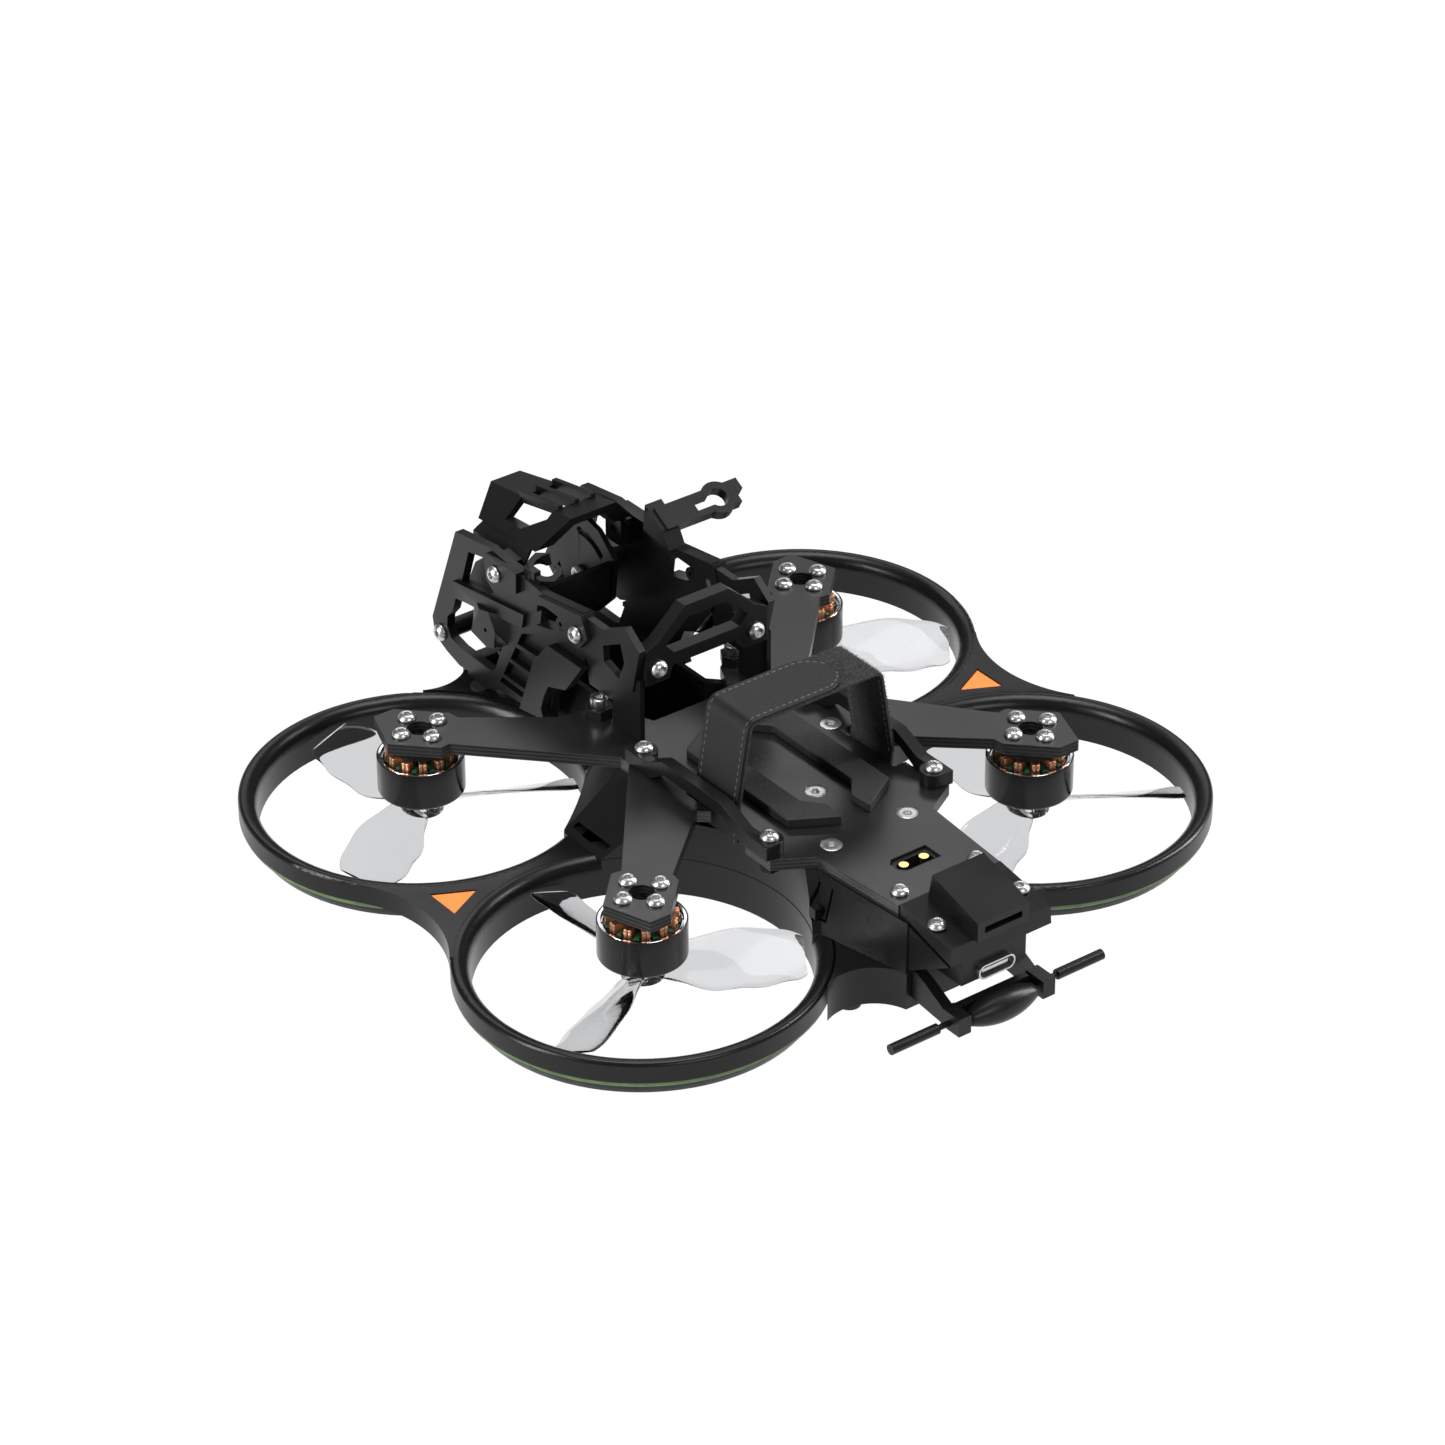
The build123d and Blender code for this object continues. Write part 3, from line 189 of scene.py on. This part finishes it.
def rubber(name, color=(0.011, 0.011, 0.011)):
    """Dull rubber, silicone, thread or fibre."""
    material, tree, shader = new_material(name, color, 0.6)
    fine = noise(tree, 1600.0, 3.0)
    tree.links.new(spread(tree, fine.outputs["Fac"], 0.5, 0.72), shader.inputs["Roughness"])
    add_bump(tree, shader, fine.outputs["Fac"], 0.25, 0.00005)
    return material


def speckled(name, dark, light, scale, roughness, bump=0.3):
    """Two-tone surface, such as solder mask, webbing or a dyed strip."""
    material, tree, shader = new_material(name, dark, roughness)
    grain = noise(tree, scale, 3.0)
    tone = color_ramp(tree, grain.outputs["Fac"], [(0.35, dark), (0.65, light)])
    tree.links.new(tone, shader.inputs["Base Color"])
    add_bump(tree, shader, grain.outputs["Fac"], bump, 0.00005)
    return material


BLACK_SHEEN = 0.28

materials = {
    "gloss_black": moulded_plastic("gloss_black_plastic", (0.006, 0.006, 0.0065), 0.26, 0.33, 1300, 0.003,
                                   Specular_IOR_Level=BLACK_SHEEN),
    "matte_black": moulded_plastic("matte_black_plastic", (0.006, 0.006, 0.0065), 0.3, 0.4, 1500, 0.04,
                                   Specular_IOR_Level=BLACK_SHEEN),
    "carbon": carbon_sheet(),
    "steel": metal("stainless", (0.6, 0.595, 0.585), 0.3, 0.36, bump=0.0),
    "bell_black": moulded_plastic("anodised_bell", (0.006, 0.006, 0.0065), 0.16, 0.24, 1500, 0.04,
                                  Specular_IOR_Level=BLACK_SHEEN),
    "core_steel": metal("laminations", (0.2, 0.2, 0.21), 0.35, 0.5, (0.1, 0.1, 8)),
    "copper": metal("enamelled_copper", (0.93, 0.47, 0.28), 0.34, 0.48),
    "magnet": metal("nickel", (0.5, 0.5, 0.52), 0.22, 0.32),
    "prop_clear": clear_blade(),
    "orange": moulded_plastic("orange_plastic", (0.95, 0.26, 0.045), 0.4, 0.5, 1200, 0.08),
    "led_green": speckled("led_strip", (0.06, 0.11, 0.03), (0.11, 0.19, 0.06), 260, 0.35),
    "rubber": rubber("black_rubber"),
    "webbing": speckled("hook_and_loop", (0.006, 0.006, 0.0062), (0.035, 0.035, 0.035), 2600, 0.8, 0.8),
    "gold": metal("gold_plate", (0.93, 0.66, 0.27), 0.15, 0.25),
    "board": speckled("solder_mask", (0.006, 0.012, 0.009), (0.012, 0.02, 0.015), 500, 0.3),
    "can": moulded_plastic("capacitor_sleeve", (0.02, 0.02, 0.03), 0.25, 0.3, 900, 0.05),
    "red_wire": rubber("wire_silicone", (0.05, 0.004, 0.004)),
}
strap_leather = leather()
fibre_black = rubber("loop_fibre", (0.045, 0.045, 0.046))
stitch_grey = rubber("stitch_thread", (0.09, 0.09, 0.093))
insulator_green = speckled("insulator_green", (0.01, 0.07, 0.03), (0.02, 0.12, 0.05), 900, 0.3)
bright_rim = metal("machined_rim", (0.75, 0.75, 0.76), 0.12, 0.2)


# ------------------------------------------------------------------ CAD nodes
SHARP_EDGE = math.radians(28)
GUARD_EDGE = math.radians(50)
SAME_POINT = 0.002
GUARD_SAME_POINT = 0.03
PLAIN_BEVEL = 0.12
BEVEL_WIDTH = {"main_plate": 0.18, "body_tub": 0.25, "rear_cover": 0.45, "web_inserts": 0.1,
               "battery_rails": 0.4}
NO_BEVEL = ("propeller", "motor_windings", "motor_magnets", "stator_cores", "motor_bearings", "led_strips",
            "battery_leads", "power_capacitor")


def add_weld(obj, reach):
    weld = obj.modifiers.new("weld", "WELD")
    weld.merge_threshold = reach * MM


def add_split(obj, angle):
    split = obj.modifiers.new("split", "EDGE_SPLIT")
    split.split_angle = angle


def add_bevel(obj, width):
    """Rounds the edges that turn sharply and keeps the flats shaded flat."""
    bevel = obj.modifiers.new("bevel", "BEVEL")
    bevel.width = width * MM
    bevel.segments = 2
    bevel.limit_method = "ANGLE"
    bevel.harden_normals = True
    return bevel


def soften(name, obj):
    """Shades a CAD node smooth between its sharp edges, and rounds those where they show."""
    mesh = obj.data
    if "custom_normal" in mesh.attributes:
        mesh.attributes.remove(mesh.attributes["custom_normal"])
    for polygon in mesh.polygons:
        polygon.use_smooth = True
    if name.startswith("duct_guard"):
        add_weld(obj, GUARD_SAME_POINT)
        add_split(obj, GUARD_EDGE)
        obj.modifiers.new("even", "WEIGHTED_NORMAL").weight = 100
        return
    add_weld(obj, SAME_POINT)
    if name.startswith(NO_BEVEL):
        add_split(obj, SHARP_EDGE)
        return
    add_bevel(obj, BEVEL_WIDTH.get(name, PLAIN_BEVEL)).angle_limit = SHARP_EDGE


slot_of = {part["node"]: part["material_slot"] for part in frame["record"]["subparts"]}
for node_name, node in nodes.items():
    node.data.materials.clear()
    node.data.materials.append(materials[slot_of[node_name]])
    soften(node_name, node)


# ------------------------------------------------------------------ pieces made here
def add_piece(name, vertices, faces, material, body, smooth=False, bevel=0.0):
    """Mesh piece from airframe millimetres, riding on a body."""
    mesh = bpy.data.meshes.new(name)
    mesh.from_pydata([place(*vertex) for vertex in vertices], [], faces)
    mesh.materials.append(material)
    for polygon in mesh.polygons:
        polygon.use_smooth = smooth
    piece = bpy.data.objects.new(name, mesh)
    bpy.context.scene.collection.objects.link(piece)
    if bevel:
        add_bevel(piece, bevel)
    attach(piece, body)
    return piece


STRAP_HALF = [(17.0, 22.5), (20.3, 2.6), (19.9, -1.0), (19.9, -4.3)]
STRAP_CORNER_R = (3.0, 1.5, 1.2)
STRAP_Y = (-30.0, -16.9)
LAYER = 0.65
TONGUE_X = 9.0
FIBRE_R = 0.05
FIBRE_COUNT = 9000
STITCH_LENGTH = 1.0
STITCH_R = 0.13


def rounded_path(corners, radii, steps=6):
    """Polyline with each inner corner replaced by a short arc."""
    path = [Vector(corners[0])]
    for before, corner, after, radius in zip(corners, corners[1:], corners[2:], radii):
        corner = Vector(corner)
        into = (corner - Vector(before)).normalized()
        away = (Vector(after) - corner).normalized()
        turn = into.angle(away)
        reach = radius * math.tan(turn / 2)
        start = corner - into * reach
        end = corner + away * reach
        for step in range(steps + 1):
            t = step / steps
            path.append(start * (1 - t) ** 2 + corner * (2 * t * (1 - t)) + end * t ** 2)
    path.append(Vector(corners[-1]))
    return path


def resample(path, pitch):
    """Points at an even pitch along a polyline."""
    points = [path[0]]
    carried = 0.0
    for start, end in zip(path, path[1:]):
        length = (end - start).length
        travel = pitch - carried
        while travel < length:
            points.append(start.lerp(end, travel / length))
            travel += pitch
        carried = length - (travel - pitch)
    points.append(path[-1])
    return points


def path_normals(path):
    """Outward normals of a path that runs clockwise as seen from the rear."""
    normals = []
    for index in range(len(path)):
        ahead = path[min(index + 1, len(path) - 1)]
        behind = path[max(index - 1, 0)]
        along = (ahead - behind).normalized()
        normals.append(Vector((-along.y, along.x)))
    return normals


def ribbon(path, outer, inner, margins, columns=8):
    """Closed ribbon swept along an (x, z) path; margins narrow it at both y edges, point by point."""
    vertices = []
    faces = []
    normals = path_normals(path)
    for depth in (outer, inner):
        for point, normal, margin in zip(path, normals, margins):
            for column in range(columns + 1):
                y = STRAP_Y[0] + margin + (STRAP_Y[1] - STRAP_Y[0] - 2 * margin) * column / columns
                spot = point + normal * depth
                vertices.append((spot.x, y, spot.y))
    width = columns + 1
    layer = len(path) * width
    for row in range(len(path) - 1):
        for column in range(columns):
            a = row * width + column
            faces.append((a, a + 1, a + width + 1, a + width))
            faces.append((a + layer + width, a + layer + width + 1, a + layer + 1, a + layer))
        for a in (row * width, row * width + columns):
            side = (a, a + width, a + width + layer, a + layer)
            faces.append(side if a % width == 0 else side[::-1])
    for a, flip in ((0, False), ((len(path) - 1) * width, True)):
        for column in range(columns):
            end = (a + column, a + column + layer, a + column + 1 + layer, a + column + 1)
            faces.append(end[::-1] if flip else end)
    return vertices, faces


def strap_side_path():
    """Whole visible run of the strap's outer surface, from the left leg's foot over to the right's."""
    left = [(-x, z) for x, z in reversed(STRAP_HALF)]
    corners = left + STRAP_HALF
    radii = [STRAP_CORNER_R[2], STRAP_CORNER_R[1], STRAP_CORNER_R[0]]
    return rounded_path(corners, radii + radii[::-1])


def tongue_margins(path, reach=6.4):
    """Edge margins that round the leather's free end on the top of the strap."""
    half = (STRAP_Y[1] - STRAP_Y[0]) / 2
    margins = []
    for point in path:
        inset = 0.0
        if point.y > 20 and point.x > TONGUE_X - reach:
            t = min(1.0, (point.x - (TONGUE_X - reach)) / reach)
            inset = half * (1 - math.sqrt(max(0.0, 1 - t * t))) * 0.97
        margins.append(inset)
    return margins


def dash(center, along, normal, length, radius):
    """Short rounded stitch lying on a surface, as a stretched octahedron."""
    side = along.cross(normal).normalized()
    ring = [center + along * offset + side * radius * s + normal * radius * n
            for offset in (-length / 3, length / 3) for s, n in ((1, 0), (0, 1), (-1, 0), (0, -1))]
    tips = [center - along * length / 2, center + along * length / 2]
    faces = []
    for k in range(4):
        following = (k + 1) % 4
        faces.append((k, following, following + 4, k + 4))
        faces.append((following, k, 8))
        faces.append((k + 4, following + 4, 9))
    return ring + tips, faces


def gather(parts):
    """Joins lists of vertices and faces into one."""
    vertices = []
    faces = []
    for part_vertices, part_faces in parts:
        base = len(vertices)
        vertices.extend(part_vertices)
        faces.extend(tuple(base + index for index in face) for face in part_faces)
    return vertices, faces


def stitch_row(path, margins, depth, edge_gap=1.0, pitch=1.55):
    """Rows of stitches along both edges of a ribbon, following its rounded end."""
    normals = path_normals(path)
    dashes = []
    for sign in (1, -1):
        line = []
        for point, normal, margin in zip(path, normals, margins):
            spot = point + normal * depth
            y = STRAP_Y[0] + margin + edge_gap if sign > 0 else STRAP_Y[1] - margin - edge_gap
            line.append((Vector((spot.x, y, spot.y)), Vector((normal.x, 0, normal.y))))
        travel = 0.0
        for (start, normal), (end, _) in zip(line, line[1:]):
            step = end - start
            while travel < step.length:
                along = step.normalized()
                dashes.append(dash(start + along * travel, along, normal, STITCH_LENGTH, STITCH_R))
                travel += pitch
            travel -= step.length
    return gather(dashes)


def fuzz(path, depth, count, x_low, x_high):
    """Loop fibres standing on the hook-and-loop side, as thin leaning triangles."""
    normals = path_normals(path)
    spots = [(point, normal) for point, normal in zip(path, normals)
             if x_low < point.x < x_high and point.y > -3.5]
    blades = []
    for _ in range(count):
        point, normal = random.choice(spots)
        root = Vector((point.x, random.uniform(*STRAP_Y), point.y))
        root += Vector((random.uniform(-0.2, 0.2), 0, 0)) + Vector((normal.x, 0, normal.y)) * (depth - 0.05)
        lean = Vector((random.uniform(-0.3, 0.3), random.uniform(-0.3, 0.3), random.uniform(-0.3, 0.3)))
        tip = root + Vector((normal.x, 0, normal.y)) * random.uniform(0.2, 0.5) + lean
        drift = Vector((random.uniform(-1, 1), random.uniform(-1, 1), random.uniform(-1, 1)))
        side = drift.normalized() * FIBRE_R
        across = side.cross(tip - root).normalized() * FIBRE_R
        blades.append(([root - side, root + side, root + across, tip], [(0, 1, 3), (1, 2, 3), (2, 0, 3)]))
    return gather(blades)


def build_strap():
    whole = resample(strap_side_path(), 0.5)
    leather_run = [point for point in whole if point.x <= TONGUE_X]
    margins = tongue_margins(leather_run)
    flat = [0.0] * len(whole)
    vertices, faces = ribbon(leather_run, 0.0, -LAYER, margins)
    add_piece("strap_leather", vertices, faces, strap_leather, "airframe", True, 0.12)
    vertices, faces = ribbon(whole, -LAYER - 0.02, -2 * LAYER, flat)
    loop_layer = add_piece("strap_loop_layer", vertices, faces, materials["webbing"], "airframe",
                           True, 0.12)
    under = [Vector((-19.2, -3.7)), Vector((0.0, -3.7)), Vector((19.2, -3.7))]
    vertices, faces = ribbon(under, 0.6, -0.6, [0.4] * 3)
    add_piece("strap_under_plate", vertices, faces, materials["webbing"], "airframe")
    vertices, faces = stitch_row(leather_run, margins, 0.0)
    add_piece("strap_stitches", vertices, faces, stitch_grey, "airframe")
    right_leg = [point for point in whole if point.x > 15 and 1 < point.y < 21]
    vertices, faces = stitch_row(right_leg, [0.0] * len(right_leg), -2 * LAYER)
    add_piece("strap_leg_stitches", vertices, faces, stitch_grey, "airframe")
    vertices, faces = fuzz(whole, -LAYER, FIBRE_COUNT, TONGUE_X - 6, 21)
    add_piece("strap_fuzz", vertices, faces, fibre_black, "airframe")
    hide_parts("battery_strap")


def turned(points, angle, center_x, center_y):
    """Points turned about z and moved to a motor's centre."""
    c = math.cos(angle)
    s = math.sin(angle)
    return [(center_x + x * c - y * s, center_y + x * s + y * c, z) for x, y, z in points]


def cuboid(x0, x1, y0, y1, z0, z1):
    """Box between two limits along each axis."""
    vertices = [(x, y, z) for z in (z0, z1) for x, y in ((x0, y0), (x1, y0), (x1, y1), (x0, y1))]
    faces = [(3, 2, 1, 0), (4, 5, 6, 7), (0, 1, 5, 4), (1, 2, 6, 5), (2, 3, 7, 6), (3, 0, 4, 7)]
    return vertices, faces


MOTORS = {"front_left": (-48.7, 37.6), "rear_left": (-48.7, -37.6), "rear_right": (48.7, -37.6),
          "front_right": (48.7, 37.6)}
TEETH = 12


def build_windings():
    """Two copper bundles on each stator tooth, and the green insulator under them."""
    bundles = []
    insulators = []
    for center_x, center_y in MOTORS.values():
        for tooth in range(TEETH):
            angle = tooth * math.tau / TEETH
            for y0, y1 in ((-0.8, -0.04), (0.04, 0.8)):
                vertices, faces = cuboid(4.6, 7.25, y0, y1, -6.44, -4.3)
                bundles.append((turned(vertices, angle, center_x, center_y), faces))
                vertices, faces = cuboid(4.5, 6.8, y0, y1, -11.6, -10.56)
                bundles.append((turned(vertices, angle, center_x, center_y), faces))
            for y0, y1 in ((-1.02, -0.6), (0.6, 1.02)):
                vertices, faces = cuboid(4.5, 6.75, y0, y1, -10.56, -6.44)
                bundles.append((turned(vertices, angle, center_x, center_y), faces))
            vertices, faces = cuboid(3.3, 4.2, -0.95, 0.95, -6.48, -4.9)
            insulators.append((turned(vertices, angle, center_x, center_y), faces))
            vertices, faces = cuboid(4.4, 7.2, -0.5, 0.5, -6.48, -5.9)
            insulators.append((turned(vertices, angle + math.pi / TEETH, center_x, center_y), faces))
    vertices, faces = gather(bundles)
    coils = add_piece("wound_coils", vertices, faces, materials["copper"], "airframe", True, 0.22)
    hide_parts("motor_windings")
    vertices, faces = gather(insulators)
    add_piece("coil_insulators", vertices, faces, insulator_green, "airframe", False, 0.1)


def build_bell_rims(segments=72):
    """Bright machined edge round the open top of each bell."""
    profile = [(8.2, -6.35), (8.15, -5.98), (8.6, -5.94), (8.7, -6.1)]
    for name, (center_x, center_y) in MOTORS.items():
        vertices = []
        faces = []
        for step in range(segments):
            angle = step * math.tau / segments
            vertices.extend(turned([(radius, 0, z) for radius, z in profile], angle, center_x, center_y))
            for k in range(4):
                a = step * 4 + k
                b = step * 4 + (k + 1) % 4
                following = ((step + 1) % segments - step) * 4
                faces.append((a, b, b + following, a + following))
        add_piece("bell_rim_" + name, vertices, faces, bright_rim, "rotor_" + name)


HEAD_SEGMENTS = 48
SCREW_EDGE = math.radians(40)
SHANK_R = 1.0
SHANK_SEGMENTS = 24
MOTOR_SCREW_R = 4.5
UP = (0, 0, 1)
STRAP_BAR_TOP_Z = 3.1
NUT_R = 2.1
NUT_Z = (-4.1, -2.5)
CAGE_BOLTS = ((18.2, 53.6, 17.6, 5.0), (18.2, 25.4, 16.6, 3.0), (17.0, 76.0, -7.2, 5.0))


def hex_radius(angle, across_corners):
    """Distance from a hexagon's centre to its side, in a given direction."""
    sector = (angle + math.pi / 6) % (math.pi / 3) - math.pi / 6
    return across_corners * math.cos(math.pi / 6) / math.cos(sector)


def socket_screw(profile, socket_r, socket_z, shank_length):
    """Screw about z: a turned outline from the socket's rim outwards, a hexagonal socket and a shank."""
    vertices = []
    faces = []
    rings = len(profile) + 2
    for step in range(HEAD_SEGMENTS):
        angle = step * math.tau / HEAD_SEGMENTS
        socket = hex_radius(angle, socket_r)
        row = [(socket, socket_z), (socket, profile[0][1] - 0.08)] + profile
        vertices.extend((r * math.cos(angle), r * math.sin(angle), z) for r, z in row)
        following = ((step + 1) % HEAD_SEGMENTS) * rings
        for k in range(rings - 1):
            faces.append((step * rings + k + 1, step * rings + k, following + k, following + k + 1))
    faces.append(tuple(step * rings for step in range(HEAD_SEGMENTS)))
    faces.append(tuple((HEAD_SEGMENTS - 1 - step) * rings + rings - 1 for step in range(HEAD_SEGMENTS)))
    shank = prism(SHANK_R, -shank_length, profile[-1][1], SHANK_SEGMENTS)
    return gather([(vertices, faces), shank])


def button_screw(shank_length, head_r=1.9, head_h=1.3, socket_r=0.8, dome=0.95):
    """Button head standing on z = 0; dome is how far its rim falls below the top."""
    rim_r = socket_r + 0.26
    profile = [(rim_r, head_h), (rim_r + (head_r - rim_r) * 0.45, head_h - 0.22 * dome),
               (head_r * 0.93, head_h - 0.66 * dome), (head_r, head_h - dome), (head_r, 0.12),
               (head_r - 0.1, 0.0)]
    return socket_screw(profile, socket_r, head_h - 0.8, shank_length)


def flush_screw(shank_length):
    """Countersunk head level with z = 0."""
    profile = [(SHANK_R, 0.0), (2.05, 0.0), (2.18, -0.06), (SHANK_R, -1.1)]
    return socket_screw(profile, 0.75, -0.6, shank_length)


def prism(radius, z_low, z_high, segments):
    """Upright prism with a regular outline, closed at both ends."""
    vertices = [(radius * math.cos(k * math.tau / segments), radius * math.sin(k * math.tau / segments), z)
                for z in (z_low, z_high) for k in range(segments)]
    faces = [(k, (k + 1) % segments, (k + 1) % segments + segments, k + segments) for k in range(segments)]
    faces.append(tuple(range(segments - 1, -1, -1)))
    faces.append(tuple(range(segments, 2 * segments)))
    return vertices, faces


def aimed(shape, spot, axis=UP):
    """Shape turned so that its z runs along an axis, and moved to a spot."""
    turn = Vector(UP).rotation_difference(Vector(axis))
    vertices, faces = shape
    return [tuple(turn @ Vector(vertex) + Vector(spot)) for vertex in vertices], faces


def add_screws(name, node, shapes):
    """Smooth socket screws standing in for one CAD node."""
    vertices, faces = gather(shapes)
    piece = add_piece(name, vertices, faces, materials["steel"], "airframe", True)
    add_split(piece, SCREW_EDGE)
    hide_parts(node)


def pair(shape, x, y, z):
    """The same upright shape on both sides of the middle."""
    return [aimed(shape, (side * x, y, z)) for side in (-1, 1)]


def motor_screws():
    """Four screws through each motor pad."""
    around = [(MOTOR_SCREW_R, 0), (-MOTOR_SCREW_R, 0), (0, MOTOR_SCREW_R), (0, -MOTOR_SCREW_R)]
    return [aimed(button_screw(3.9), (x + dx, y + dy, 0)) for x, y in MOTORS.values() for dx, dy in around]


def deck_screws():
    middle = [aimed(flush_screw(7.5), (0, -29.6, 0))]
    return middle + pair(flush_screw(7.5), 9.5, -46.7, 0) + pair(flush_screw(7.5), 18.0, -11.5, 0)


def rear_cover_screws():
    return pair(button_screw(7.5), 9.5, -67.9, 0) + pair(button_screw(6.8), 10.3, -80.2, -0.9)


def strap_bar_screws():
    front = pair(button_screw(10.0), 20.5, -0.4, STRAP_BAR_TOP_Z)
    return front + pair(button_screw(7.0), 20.5, -41.2, STRAP_BAR_TOP_Z)


def cage_screws():
    """Side bolts, the roll bar's two screws and the tall cap screws at the cage's foot."""
    bolts = [aimed(button_screw(length), (side * x, y, z), (side, 0, 0)) for side in (-1, 1)
             for x, y, z, length in CAGE_BOLTS]
    roll_bar = [aimed(button_screw(2.6), (side * 12.2, 5.7, 15.8), (0, -1, 0)) for side in (-1, 1)]
    return bolts + roll_bar + pair(button_screw(6.0, 1.9, 2.2, 0.95, 0.25), 17.0, 19.5, 2.3)


def build_screws():
    add_screws("motor_screw_heads", "motor_screws", motor_screws())
    add_screws("deck_screw_heads", "deck_screws", deck_screws())
    add_screws("rear_cover_screw_heads", "rear_cover_screws", rear_cover_screws())
    add_screws("strap_bar_screw_heads", "strap_bar_screws", strap_bar_screws())
    vertices, faces = gather(pair(prism(NUT_R, *NUT_Z, 6), 20.5, -41.2, 0))
    add_piece("strap_bar_nuts", vertices, faces, materials["bell_black"], "airframe", False, 0.12)
    add_screws("cage_screw_heads", "cage_screws", cage_screws())


build_strap()
build_windings()
build_bell_rims()
build_screws()


# ------------------------------------------------------------------ stage, light and camera
def add_stage():
    floor_material, _, _ = new_material("stage_floor", (0.02, 0.02, 0.02), 0.95, Emission_Strength=1.0,
                                        Emission_Color=(1.0, 1.0, 1.0, 1.0), Specular_IOR_Level=0.0)
    bpy.ops.mesh.primitive_plane_add(size=12, location=(0, 0, -0.0002))
    floor = bpy.context.object
    floor.name = "stage_floor"
    floor.data.materials.append(floor_material)


def add_area(name, location, target, size, power, size_y):
    """Rectangular softbox aimed at a target."""
    light = bpy.data.lights.new(name, "AREA")
    light.energy = power
    light.size = size
    light.shape = "RECTANGLE"
    light.size_y = size_y
    obj = bpy.data.objects.new(name, light)
    obj.location = location
    obj.rotation_euler = (Vector(target) - Vector(location)).to_track_quat("-Z", "Y").to_euler()
    bpy.context.scene.collection.objects.link(obj)


def add_lights():
    world = bpy.data.worlds.new("studio")
    world.use_nodes = True
    world.node_tree.nodes["Background"].inputs["Color"].default_value = (1, 1, 1, 1)
    world.node_tree.nodes["Background"].inputs["Strength"].default_value = 0.1
    bpy.context.scene.world = world
    add_area("top_softbox", (0.1, 0.1, 1.1), (0, 0, 0), 0.7, 7, 0.5)
    add_area("nose_sheen", (0.45, 0.85, 0.8), (0, 0, 0), 0.9, 1.9, 0.3)
    add_area("left_strip", (-1.0, 0.15, 0.45), (0, 0, 0.02), 0.2, 12, 0.9)
    add_area("right_strip", (0.9, -0.3, 0.5), (0, 0, 0.02), 0.2, 12, 0.9)
    add_area("tail_fill", (-0.1, -1.1, 0.7), (0, 0, 0.02), 0.6, 4.0, 0.4)


def add_camera():
    """Camera looking from behind on the left, down onto the deck."""
    azimuth = math.radians(-37.113)
    elevation = math.radians(31.893)
    roll = math.radians(-0.2935)
    back = Vector((math.sin(azimuth) * math.cos(elevation), -math.cos(azimuth) * math.cos(elevation),
                   math.sin(elevation)))
    right = Vector((math.cos(azimuth), math.sin(azimuth), 0))
    up = back.cross(right)
    axis_x = right * math.cos(roll) + up * math.sin(roll)
    axis_y = -right * math.sin(roll) + up * math.cos(roll)
    target = Vector((0.911, 1.999, 0.0))
    camera = bpy.data.objects.new("camera", bpy.data.cameras.new("camera"))
    rotation = Matrix((axis_x, axis_y, back)).transposed().to_4x4()
    camera.matrix_world = Matrix.Translation(place(*(target + back * 1078.14))) @ rotation
    camera.data.sensor_width = 36.0
    camera.data.lens = 133.16
    camera.data.clip_start = 0.01
    bpy.context.scene.collection.objects.link(camera)
    bpy.context.scene.camera = camera


add_stage()
add_lights()
add_camera()
bpy.context.scene.view_settings.view_transform = "Standard"
